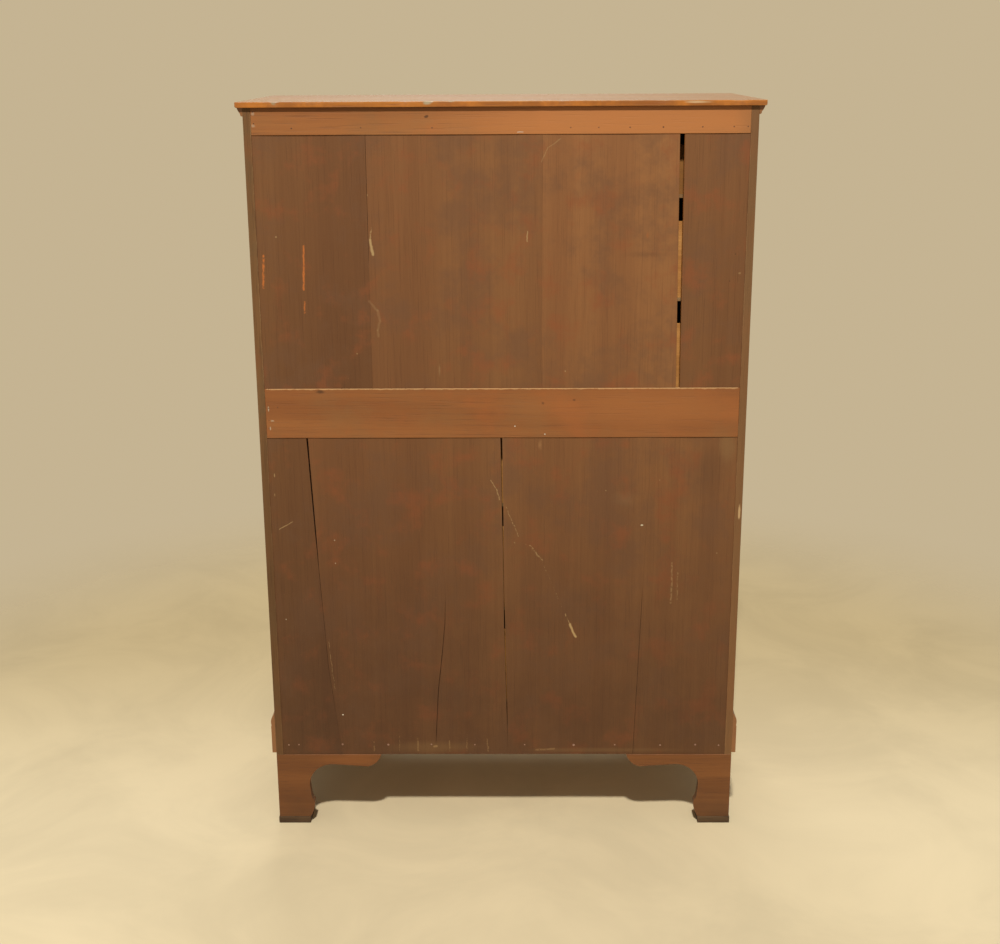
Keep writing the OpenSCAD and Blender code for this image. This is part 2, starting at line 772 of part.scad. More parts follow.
module bail_rod() {
    sides = 8;
    path = bail_path();
    n = len(path);
    points = [for (p = path, k = [0:sides - 1])
        let (a = 360 * k / sides, r = bail_r(p[0]))
        [p[0] - r * cos(a) * sin(p[2]), r * sin(a), p[1] + r * cos(a) * cos(p[2])]];
    walls = [for (i = [0:n - 2], k = [0:sides - 1], half = [0, 1])
        let (a = i * sides + k, b = i * sides + (k + 1) % sides)
        half == 0 ? [a, b, b + sides] : [a, b + sides, a + sides]];
    ends = [for (k = [1:sides - 2]) [0, k + 1, k]];
    far_ends = [for (k = [1:sides - 2]) [(n - 1) * sides, (n - 1) * sides + k, (n - 1) * sides + k + 1]];
    polyhedron(points, concat(walls, ends, far_ends));
}

// The loose handle of one pair of posts, hanging from its pins
module bail(d, i) {
    shoulder = handle_w / 2 + ball_r + bail_gap;
    pin_l = 2 * ball_r;
    color(brass)
    translate([handle_places(d)[i], y_front - post_reach, pivot_z(d)])
    union() {
        bail_rod();
        for (side = [-1, 1])
            translate([side * (shoulder - pin_l / 2 + 0.5), 0, 0])
            rotate([0, 90, 0]) cylinder(r = pin_r, h = pin_l + 1, center = true);
    }
}

carcase_side(-1);  // left_side
carcase_side(1);  // right_side
top_board();
cornice_moulding();
sub_top();
front_rails();
centre_post();
bottom_board();
base_moulding();
drawer_runners();
drawer_stops();
top_back_rail();
middle_back_rail();
upper_back_board(1);  // upper_back_board_1
upper_back_board(2);  // upper_back_board_2
upper_back_board(3);  // upper_back_board_3
upper_back_board(4);  // upper_back_board_4
lower_back_board(1);  // lower_back_board_1
lower_back_board(2);  // lower_back_board_2
lower_back_board(3);  // lower_back_board_3
lower_back_board(4);  // lower_back_board_4
at_corner(-1, -1) foot();  // front_left_foot
at_corner(1, -1) foot();  // front_right_foot
at_corner(-1, 1) foot();  // back_left_foot
at_corner(1, 1) foot();  // back_right_foot
foot_pads();
drawer_front(short_left);  // short_left_front
drawer_box(short_left);  // short_left_box
drawer_brasses(short_left);  // short_left_brasses
bail(short_left, 0);  // short_left_bail
drawer_front(short_right);  // short_right_front
drawer_box(short_right);  // short_right_box
drawer_brasses(short_right);  // short_right_brasses
bail(short_right, 0);  // short_right_bail
drawer_front(long_1);  // long_1_front
drawer_box(long_1);  // long_1_box
drawer_brasses(long_1);  // long_1_brasses
bail(long_1, 0);  // long_1_left_bail
bail(long_1, 1);  // long_1_right_bail
drawer_front(long_2);  // long_2_front
drawer_box(long_2);  // long_2_box
drawer_brasses(long_2);  // long_2_brasses
bail(long_2, 0);  // long_2_left_bail
bail(long_2, 1);  // long_2_right_bail
drawer_front(long_3);  // long_3_front
drawer_box(long_3);  // long_3_box
drawer_brasses(long_3);  // long_3_brasses
bail(long_3, 0);  // long_3_left_bail
bail(long_3, 1);  // long_3_right_bail
drawer_front(long_4);  // long_4_front
drawer_box(long_4);  // long_4_box
drawer_brasses(long_4);  // long_4_brasses
bail(long_4, 0);  // long_4_left_bail
bail(long_4, 1);  // long_4_right_bail
drawer_front(long_5);  // long_5_front
drawer_box(long_5);  // long_5_box
drawer_brasses(long_5);  // long_5_brasses
bail(long_5, 0);  // long_5_left_bail
bail(long_5, 1);  // long_5_right_bail
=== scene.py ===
# Looks of a tall mahogany chest of drawers, seen first from its boarded back.
import logging
import math
from collections.abc import Callable, Iterable, Sequence
from dataclasses import dataclass, replace
from enum import Enum

import bmesh
import bpy
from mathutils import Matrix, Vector, noise


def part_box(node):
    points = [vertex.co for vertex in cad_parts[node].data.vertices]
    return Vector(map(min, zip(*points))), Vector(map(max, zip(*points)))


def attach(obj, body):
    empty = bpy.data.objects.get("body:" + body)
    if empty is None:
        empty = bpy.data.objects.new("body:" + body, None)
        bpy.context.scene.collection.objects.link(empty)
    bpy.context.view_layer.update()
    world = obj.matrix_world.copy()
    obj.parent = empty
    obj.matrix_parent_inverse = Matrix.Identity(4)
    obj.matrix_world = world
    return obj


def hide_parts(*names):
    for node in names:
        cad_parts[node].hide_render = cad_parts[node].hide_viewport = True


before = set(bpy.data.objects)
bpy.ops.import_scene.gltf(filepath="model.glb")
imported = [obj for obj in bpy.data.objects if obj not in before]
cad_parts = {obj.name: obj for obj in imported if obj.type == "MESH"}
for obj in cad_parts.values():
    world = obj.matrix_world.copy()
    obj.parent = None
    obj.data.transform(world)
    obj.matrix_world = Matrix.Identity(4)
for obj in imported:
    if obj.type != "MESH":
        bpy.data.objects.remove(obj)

LOG = logging.getLogger("tallboy")
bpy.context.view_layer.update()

Colour = tuple[float, float, float]
Point = tuple[float, float]
Object = bpy.types.Object
Material = bpy.types.Material
Node = bpy.types.Node
Tree = bpy.types.NodeTree
Socket = bpy.types.NodeSocket
Sockets = bpy.types.NodeOutputs
Input = Socket | float | Sequence[float]
Shape = bmesh.types.BMesh

Y_FACE = -0.2115
Y_BACK = 0.2285
Y_BOARDS = 0.2273
FRONT_THICK = 0.02


class Along(Enum):
    """The way that the grain of a piece runs, with the turn that lays it along Z."""

    WIDTH = (0.0, math.pi / 2, 0.0)
    DEPTH = (-math.pi / 2, 0.0, 0.0)
    HEIGHT = (0.0, 0.0, 0.0)

    def axis(self) -> tuple[float, float, float]:
        """The direction of the grain in the frame of the chest."""
        return tuple(float(self is way) for way in (Along.WIDTH, Along.DEPTH, Along.HEIGHT))


# Node trees


class Wiring:
    """Adds nodes to one tree and joins them."""

    def __init__(self, tree: Tree) -> None:
        """Works on the given shader or geometry tree."""
        self.tree = tree

    def add(self, kind: str, inputs: dict[str | int, Input] | None = None,
            **settings: object) -> Node:
        """Adds one node.

        Args:
            kind: Blender's name of the node type.
            inputs: A value or a socket for each named or numbered input.
            **settings: Properties of the node.

        Returns:
            The new node.
        """
        node = self.tree.nodes.new(kind)
        for name, value in settings.items():
            setattr(node, name, value)
        for key, value in (inputs or {}).items():
            self.put(node.inputs[key], value)
        return node

    def put(self, socket: Socket, value: Input) -> None:
        """Joins a socket to the input, or writes a plain value on it.

        Args:
            socket: The input to fill.
            value: Another node's output, a number, or a list of numbers.
        """
        if isinstance(value, Socket):
            self.tree.links.new(value, socket)
        elif socket.type == "RGBA" and len(value) == 3:
            socket.default_value = (*value, 1.0)
        else:
            socket.default_value = value

    def given(self) -> Sockets:
        """The sockets by which the values of the tree's inputs come in."""
        return self.add("NodeGroupInput").outputs

    def give(self, results: dict[str, Input]) -> Tree:
        """Sends results to the tree's named outputs, which finishes the tree."""
        self.add("NodeGroupOutput", results)
        return self.tree

    def group(self, tree: Tree, inputs: dict[str, Input]) -> Sockets:
        """Places a shader group with a value or a socket for each named input."""
        return self.add("ShaderNodeGroup", inputs, node_tree=tree).outputs

    def sum(self, operation: str, first: Input, second: Input = 0.0, clamp: bool = False) -> Socket:
        """One step of arithmetic, kept from 0 to 1 if it is clamped."""
        inputs = {0: first, 1: second}
        return self.add("ShaderNodeMath", inputs, operation=operation, use_clamp=clamp).outputs[0]

    def times(self, first: Input, second: Input) -> Socket:
        """The product of two numbers."""
        return self.sum("MULTIPLY", first, second)

    def vector(self, operation: str, first: Input, second: Input = (0.0, 0.0, 0.0)) -> Sockets:
        """One step of arithmetic on vectors, as a vector in 0 and a number in 1."""
        return self.add("ShaderNodeVectorMath", {0: first, 1: second}, operation=operation).outputs

    def spread(self, value: Input, low: Input, high: Input, to_low: Input = 0.0,
               to_high: Input = 1.0) -> Socket:
        """Carries the range from low to high over to another one, with soft ends."""
        inputs = {0: value, 1: low, 2: high, 3: to_low, 4: to_high}
        return self.add("ShaderNodeMapRange", inputs, interpolation_type="SMOOTHSTEP").outputs[0]

    def grey(self, value: Input) -> Socket:
        """The grey of one number."""
        return self.add("ShaderNodeCombineColor", {0: value, 1: value, 2: value}).outputs[0]

    def blend(self, share: Input, under: Input, over: Input, mode: str = "MIX") -> Socket:
        """Lays a share of one colour over another."""
        inputs = {0: share, 6: under, 7: over}
        return self.add("ShaderNodeMix", inputs, data_type="RGBA", blend_type=mode).outputs[2]

    def lay(self, mask: Input, strength: Input, under: Input, over: Input) -> Socket:
        """Lays one colour over another where a mask shows it."""
        return self.blend(self.times(mask, strength), under, over)

    def noise(self, vector: Input, scale: Input, detail: float = 2.0, roughness: float = 0.5,
              distortion: float = 0.0) -> Socket:
        """Cloudy noise about 0.5, its scale given per metre."""
        inputs = {"Vector": vector, "Scale": scale, "Detail": detail, "Roughness": roughness,
                  "Distortion": distortion}
        return self.add("ShaderNodeTexNoise", inputs).outputs[0]


def new_tree(name: str, kind: str, inputs: dict[str, str], outputs: dict[str, str]) -> Wiring:
    """Makes an empty node tree with named sockets.

    Args:
        name: Name of the tree.
        kind: ShaderNodeTree or GeometryNodeTree.
        inputs: Name and type of each input.
        outputs: Name and type of each output.

    Returns:
        The wiring of the new tree.
    """
    tree = bpy.data.node_groups.new(name, kind)
    for way, sockets in (("INPUT", inputs), ("OUTPUT", outputs)):
        for label, socket_type in sockets.items():
            tree.interface.new_socket(label, in_out=way, socket_type=socket_type)
    return Wiring(tree)


def new_material(name: str) -> tuple[Material, Wiring, Node, Socket]:
    """Makes a material with what each of them starts from.

    Args:
        name: Name of the material.

    Returns:
        The material, its wiring, its shader and the object coordinates.
    """
    made = bpy.data.materials.new(name)
    made.use_nodes = True
    wires = Wiring(made.node_tree)
    place = wires.add("ShaderNodeTexCoord").outputs["Object"]
    return made, wires, made.node_tree.nodes["Principled BSDF"], place


NUMBER = "NodeSocketFloat"
VECTOR = "NodeSocketVector"
SHAPE = "NodeSocketGeometry"


class Effects:
    """The shader groups that more than one finish uses, each built once."""

    def __init__(self) -> None:
        """Builds every group."""
        self.grain = self.build_grain()
        self.worn_edges = self.build_worn_edges()
        self.stroke = self.build_stroke()
        self.patches = self.build_patches()
        self.blotches = self.build_blotches()
        self.cut_ends = self.build_cut_ends()

    @staticmethod
    def build_grain() -> Tree:
        """Wood grain along Z.

        Returns:
            The group's tree.
        """
        wires = new_tree("wood grain", "ShaderNodeTree",
                         {"Vector": VECTOR, "Stretch": NUMBER, "Ring Scale": NUMBER},
                         {"Figure": NUMBER, "Tone": NUMBER, "Streaks": NUMBER, "Pores": NUMBER})
        given = wires.given()
        squeeze = wires.sum("DIVIDE", 1.0, given["Stretch"])
        along = wires.add("ShaderNodeCombineXYZ", {0: 1.0, 1: 1.0, 2: squeeze}).outputs[0]
        place = wires.vector("MULTIPLY", given["Vector"], along)[0]
        fine = wires.vector("MULTIPLY", place, (1.0, 1.0, 0.4))[0]
        wave = wires.add("ShaderNodeTexWave",
                         {"Vector": place, "Scale": given["Ring Scale"], "Distortion": 7.0,
                          "Detail": 3.0, "Detail Scale": 1.6, "Detail Roughness": 0.6},
                         wave_type="BANDS", bands_direction="DIAGONAL")
        pore = wires.noise(fine, scale=620.0)
        return wires.give({
            "Figure": wave.outputs[1],
            "Tone": wires.noise(place, scale=5.0, detail=3.0, roughness=0.55, distortion=0.6),
            "Streaks": wires.noise(fine, scale=110.0, detail=6.0, roughness=0.68),
            "Pores": wires.spread(pore, low=0.57, high=0.7)})

    @staticmethod
    def build_worn_edges() -> Tree:
        """A mask of the arrises, where handling rubs a finish away, and where some finishes paint a
        highlight.

        Returns:
            The group's tree.
        """
        wires = new_tree("worn edges", "ShaderNodeTree",
                         {"Vector": VECTOR, "Radius": NUMBER, "Patchiness": NUMBER},
                         {"Mask": NUMBER})
        given = wires.given()
        round_normal = wires.add("ShaderNodeBevel", {"Radius": given["Radius"]}, samples=4)
        flat_normal = wires.add("ShaderNodeNewGeometry").outputs["True Normal"]
        facing = wires.vector("DOT_PRODUCT", round_normal.outputs[0], flat_normal)[1]
        edge = wires.spread(facing, low=0.995, high=0.86)
        cloud = wires.noise(given["Vector"], given["Patchiness"], detail=4.0, roughness=0.65)
        return wires.give({"Mask": wires.times(edge, wires.spread(cloud, low=0.38, high=0.66))})

    @staticmethod
    def build_stroke() -> Tree:
        """A mask of one scratch between two places on an upright face.

        Returns:
            The group's tree.
        """
        wires = new_tree("stroke", "ShaderNodeTree",
                         {"Vector": VECTOR, "From": VECTOR, "To": VECTOR, "Width": NUMBER,
                          "Breaks": NUMBER},
                         {"Mask": NUMBER})
        given = wires.given()
        flat = wires.vector("MULTIPLY", given["Vector"], (1.0, 0.0, 1.0))[0]
        shake = wires.add("ShaderNodeTexNoise", {"Vector": flat, "Scale": 70.0, "Detail": 3.0})
        shift = wires.vector("SUBTRACT", shake.outputs[1], (0.5, 0.5, 0.5))[0]
        shift = wires.vector("MULTIPLY", shift, (0.006, 0.0, 0.006))[0]
        place = wires.vector("ADD", flat, shift)[0]
        reach = wires.vector("SUBTRACT", given["To"], given["From"])[0]
        offset = wires.vector("SUBTRACT", place, given["From"])[0]
        share = wires.sum("DIVIDE", wires.vector("DOT_PRODUCT", offset, reach)[1],
                          wires.vector("DOT_PRODUCT", reach, reach)[1], clamp=True)
        near = wires.add("ShaderNodeVectorMath", {0: reach, "Scale": share}, operation="SCALE")
        gap = wires.vector("DISTANCE", offset, near.outputs[0])[1]
        line = wires.spread(gap, given["Width"], wires.times(given["Width"], 0.25))
        softness = 0.06
        broken = wires.spread(wires.noise(place, scale=160.0, detail=4.0, roughness=0.7),
                              wires.sum("SUBTRACT", given["Breaks"], softness),
                              wires.sum("ADD", given["Breaks"], softness))
        return wires.give({"Mask": wires.times(line, broken)})

    @staticmethod
    def build_patches() -> Tree:
        """A mask of grime or dust, and of painted shade, that lies in cloudy patches and thickens
        towards a height; with a high Evenness it is an even painted darkening by height.

        Returns:
            The group's tree.
        """
        wires = new_tree("patches", "ShaderNodeTree",
                         {"Vector": VECTOR, "Scale": NUMBER, "Bare Height": NUMBER,
                          "Full Height": NUMBER, "Evenness": NUMBER},
                         {"Mask": NUMBER})
        given = wires.given()
        height = wires.add("ShaderNodeSeparateXYZ", {0: given["Vector"]}).outputs[2]
        level = wires.spread(height, given["Bare Height"], given["Full Height"])
        cloud = wires.noise(given["Vector"], given["Scale"], detail=5.0, roughness=0.62)
        cloud = wires.spread(cloud, low=0.32, high=0.7, to_low=given["Evenness"])
        return wires.give({"Mask": wires.times(level, cloud)})

    @staticmethod
    def build_blotches() -> Tree:
        """Two masks of soft uneven patches, one warm and one dull.

        Returns:
            The group's tree.
        """
        wires = new_tree("blotches", "ShaderNodeTree", {"Vector": VECTOR, "Scale": NUMBER},
                         {"Warm": NUMBER, "Dull": NUMBER})
        given = wires.given()
        elsewhere = wires.vector("ADD", given["Vector"], (3.1, 5.7, 1.9))[0]
        warm = wires.noise(given["Vector"], given["Scale"], detail=5.0, roughness=0.62)
        dull = wires.noise(elsewhere, wires.times(given["Scale"], 0.6), detail=5.0, roughness=0.66)
        return wires.give({"Warm": wires.spread(warm, low=0.5, high=0.7),
                           "Dull": wires.spread(dull, low=0.44, high=0.66)})

    @staticmethod
    def build_cut_ends() -> Tree:
        """A mask of the faces that cut across the grain.

        Returns:
            The group's tree.
        """
        wires = new_tree("cut ends", "ShaderNodeTree", {"Axis": VECTOR}, {"Mask": NUMBER})
        normal = wires.add("ShaderNodeNewGeometry").outputs["True Normal"]
        facing = wires.vector("DOT_PRODUCT", normal, wires.given()["Axis"])[1]
        across = wires.spread(wires.sum("ABSOLUTE", facing), low=0.75, high=0.92)
        return wires.give({"Mask": across})


EFFECTS = Effects()


# Finishes


@dataclass(frozen=True)
class Scratch:
    """One stroke on an upright face, through places given as x and z in metres."""

    path: tuple[Point, ...]
    width: float
    colour: Colour
    strength: float = 1.0
    breaks: float = 0.45


@dataclass(frozen=True)
class Spot:
    """One soft round stain or knot on an upright face."""

    centre: Point
    radius: Point
    colour: Colour
    strength: float = 1.0
    soft: float = 0.5


@dataclass(frozen=True)
class WoodFinish:
    """One kind of wood with its polish and its wear, and the highlights and shade that some
    finishes paint on it.
    """

    name: str
    dark: Colour
    mid: Colour
    pale: Colour
    pore: Colour
    # worn is the colour of rubbed arrises and specks; on some arrises it is also a painted
    # highlight.
    worn: Colour
    cut: Colour
    roughness: float = 0.5
    specular: float = 0.35
    coat: float = 0.0
    coat_roughness: float = 0.22
    stretch: float = 16.0
    ring_scale: float = 9.0
    figure: float = 0.35
    streak_share: float = 0.45
    pores: float = 0.5
    # Strength of the rubbed arrises, which on some finishes is partly a painted highlight.
    wear_and_highlight: float = 0.5
    wear_and_highlight_radius: float = 0.002
    wear_and_highlight_patches: float = 26.0
    cut_share: float = 0.8
    relief: float = 0.0003
    # Grime and painted shade: a colour laid in cloudy patches, from none at the first height to
    # full at the second; laid evenly, it is painted shade that darkens the lower part.
    grime_and_shade: Colour = (0.02, 0.012, 0.008)
    grime_and_shade_share: float = 0.3
    grime_and_shade_heights: Point = (0.7, 0.2)
    grime_and_shade_even: float = 0.0
    grime_and_shade_patches: float = 9.0
    blotch: float = 0.0
    blotch_scale: float = 16.0
    warm: Colour = (0.3, 0.085, 0.026)
    dull: Colour = (0.13, 0.075, 0.034)
    speckle: float = 0.0
    mirrored: bool = False
    scratches: tuple[Scratch, ...] = ()
    spots: tuple[Spot, ...] = ()

    def material(self, along: Along) -> Material:
        """The material of this wood with its grain laid one way, built on the first call."""
        name = f"{self.name} {along.name.lower()}"
        return bpy.data.materials.get(name) or self.build(name, along)

    def build(self, name: str, along: Along) -> Material:
        """Builds the nodes of one material.

        Args:
            name: Name of the material.
            along: The way that the grain runs.

        Returns:
            The new material.
        """
        made, wires, shader, place = new_material(name)
        grain = self.grain(wires, place, along)
        streak = wires.spread(grain["Streaks"], low=0.34, high=0.66)
        colour = self.wood_colour(wires, grain, streak)
        tone = wires.add("ShaderNodeAttribute", attribute_name="tone").outputs["Fac"]
        colour = wires.blend(1.0, colour, wires.grey(wires.sum("ADD", tone, 1.0)), "MULTIPLY")
        colour = self.weathered(wires, colour, place, along)
        for mark in (*self.spots, *self.scratches):
            colour = (self.with_spot if isinstance(mark, Spot) else self.with_scratch)(
                wires, colour, place, mark)
        wires.put(shader.inputs["Base Color"], colour)
        rough = wires.sum("ADD", self.roughness, wires.times(streak, 0.1))
        wires.put(shader.inputs["Roughness"], rough)
        shader.inputs["Coat Weight"].default_value = self.coat
        shader.inputs["Coat Roughness"].default_value = self.coat_roughness
        shader.inputs["Specular IOR Level"].default_value = self.specular
        height = wires.sum("SUBTRACT", wires.times(grain["Streaks"], 0.7),
                           wires.times(grain["Pores"], 0.8))
        bump = wires.add("ShaderNodeBump",
                         {"Strength": 0.6, "Distance": self.relief, "Height": height})
        wires.put(shader.inputs["Normal"], bump.outputs[0])
        return made

    def grain(self, wires: Wiring, place: Socket, along: Along) -> Sockets:
        """Lays the grain along the piece, and mirrors it about the middle of a matched veneer.

        Args:
            wires: The material's wiring.
            place: Object coordinates.
            along: The way that the grain runs.

        Returns:
            What the grain group puts out.
        """
        if self.mirrored:
            x, y, z = wires.add("ShaderNodeSeparateXYZ", {0: place}).outputs
            place = wires.add("ShaderNodeCombineXYZ",
                              {0: wires.sum("ABSOLUTE", x), 1: y, 2: z}).outputs[0]
        laid = wires.add("ShaderNodeMapping", {"Vector": place, "Rotation": along.value}).outputs[0]
        return wires.group(EFFECTS.grain, {"Vector": laid, "Stretch": self.stretch,
                                           "Ring Scale": self.ring_scale})

    def wood_colour(self, wires: Wiring, grain: Sockets, streak: Socket) -> Socket:
        """Mixes the wood's colours by its grain.

        Args:
            wires: The material's wiring.
            grain: What the grain group puts out.
            streak: The mask of the dark streaks.

        Returns:
            The colour.
        """
        tone = wires.spread(grain["Tone"], low=0.32, high=0.68)
        figure = wires.spread(grain["Figure"], low=0.15, high=0.85)
        colour = wires.blend(tone, self.mid, self.pale)
        colour = wires.lay(figure, self.figure, colour, self.dark)
        colour = wires.lay(streak, self.streak_share, colour, self.dark)
        return wires.lay(grain["Pores"], self.pores, colour, self.pore)

    def weathered(self, wires: Wiring, colour: Socket, place: Socket, along: Along) -> Socket:
        """Adds blotches, cut ends, wear that is partly a painted highlight, grime that is partly
        painted shade, and speckles.

        Args:
            wires: The material's wiring.
            colour: The wood's colour.
            place: Object coordinates.
            along: The way that the grain runs.

        Returns:
            The weathered colour.
        """
        if self.blotch:
            masks = wires.group(EFFECTS.blotches, {"Vector": place, "Scale": self.blotch_scale})
            colour = wires.lay(masks["Dull"], self.blotch, colour, self.dull)
            colour = wires.lay(masks["Warm"], self.blotch, colour, self.warm)
        ends = wires.group(EFFECTS.cut_ends, {"Axis": along.axis()})[0]
        colour = wires.lay(ends, self.cut_share, colour, self.cut)
        # Rubbed arrises, partly painted highlights on some finishes.
        edges = wires.group(EFFECTS.worn_edges, {"Vector": place, "Radius": self.wear_and_highlight_radius,
                                                 "Patchiness": self.wear_and_highlight_patches})[0]
        colour = wires.lay(edges, self.wear_and_highlight, colour, self.worn)
        # Grime colour, which on some finishes is mostly painted shade darkening by height.
        bare, full = self.grime_and_shade_heights
        grime_and_shade_mask = wires.group(EFFECTS.patches, {"Vector": place, "Scale": self.grime_and_shade_patches,
                                             "Bare Height": bare, "Full Height": full,
                                             "Evenness": self.grime_and_shade_even})[0]
        colour = wires.lay(grime_and_shade_mask, self.grime_and_shade_share, colour, self.grime_and_shade)
        if self.speckle:
            flecks = wires.spread(wires.noise(place, scale=420.0), low=0.735, high=0.77)
            colour = wires.lay(flecks, self.speckle, colour, self.worn)
        return colour

    @staticmethod
    def with_spot(wires: Wiring, colour: Socket, place: Socket, spot: Spot) -> Socket:
        """Lays one spot over the colour.

        Args:
            wires: The material's wiring.
            colour: The colour under the spot.
            place: Object coordinates.
            spot: The spot.

        Returns:
            The colour with the spot.
        """
        (x, z), (wide, tall) = spot.centre, spot.radius
        offset = wires.vector("SUBTRACT", place, (x, 0.0, z))[0]
        scaled = wires.vector("MULTIPLY", offset, (1 / wide, 0.0, 1 / tall))[0]
        ragged = wires.noise(place, 0.9 / max(spot.radius), detail=4.0, roughness=0.6)
        away = wires.sum("ADD", wires.vector("LENGTH", scaled)[1],
                         wires.times(wires.sum("SUBTRACT", ragged, 0.5), 1.2))
        mask = wires.spread(away, low=1.0, high=1.0 - spot.soft)
        return wires.lay(mask, spot.strength, colour, spot.colour)

    @staticmethod
    def with_scratch(wires: Wiring, colour: Socket, place: Socket, scratch: Scratch) -> Socket:
        """Lays one scratch over the colour.

        Args:
            wires: The material's wiring.
            colour: The colour under the scratch.
            place: Object coordinates.
            scratch: The scratch.

        Returns:
            The colour with the scratch.
        """
        for (x0, z0), (x1, z1) in zip(scratch.path, scratch.path[1:]):
            mask = wires.group(EFFECTS.stroke, {
                "Vector": place, "From": (x0, 0.0, z0), "To": (x1, 0.0, z1),
                "Width": scratch.width, "Breaks": scratch.breaks})[0]
            colour = wires.lay(mask, scratch.strength, colour, scratch.colour)
        return colour


@dataclass(frozen=True)
class MetalFinish:
    """One kind of metal with its tarnish."""

    name: str
    bright: Colour
    dull: Colour
    roughness: float
    tarnish: float = 0.5
    metallic: float = 1.0

    def material(self) -> Material:
        """The material of this metal, built on the first call."""
        return bpy.data.materials.get(self.name) or self.build()

    def build(self) -> Material:
        """Builds the nodes of the material.

        Returns:
            The new material.
        """
        made, wires, shader, place = new_material(self.name)
        cloud = wires.noise(place, scale=85.0, detail=5.0, roughness=0.65)
        film = wires.times(wires.spread(cloud, low=0.36, high=0.66), self.tarnish)
        edges = wires.group(EFFECTS.worn_edges, {"Vector": place, "Radius": 0.0008,
                                                 "Patchiness": 60.0})[0]
        film = wires.sum("SUBTRACT", film, wires.times(edges, 0.6), clamp=True)
        wires.put(shader.inputs["Base Color"], wires.blend(film, self.bright, self.dull))
        shader.inputs["Metallic"].default_value = self.metallic
        rough = wires.sum("ADD", self.roughness, wires.times(film, 0.22))
        wires.put(shader.inputs["Roughness"], rough)
        scuffs = wires.noise(place, scale=900.0, detail=3.0, roughness=0.6)
        bump = wires.add("ShaderNodeBump", {"Strength": 0.25, "Distance": 0.0002, "Height": scuffs})
        wires.put(shader.inputs["Normal"], bump.outputs[0])
        return made


RUST_ORANGE: Colour = (0.58, 0.165, 0.03)
BONE: Colour = (0.48, 0.31, 0.13)
DIRT: Colour = (0.33, 0.19, 0.075)
DUST: Colour = (0.21, 0.115, 0.042)
CHALK: Colour = (0.75, 0.66, 0.5)
SPECK: Colour = (0.55, 0.45, 0.3)
STOPPING: Colour = (0.6, 0.48, 0.32)
NAIL_STAIN: Colour = (0.46, 0.29, 0.17)
FAINT_HOLE: Colour = (0.1, 0.04, 0.015)
DARK_HOLE: Colour = (0.05, 0.02, 0.008)

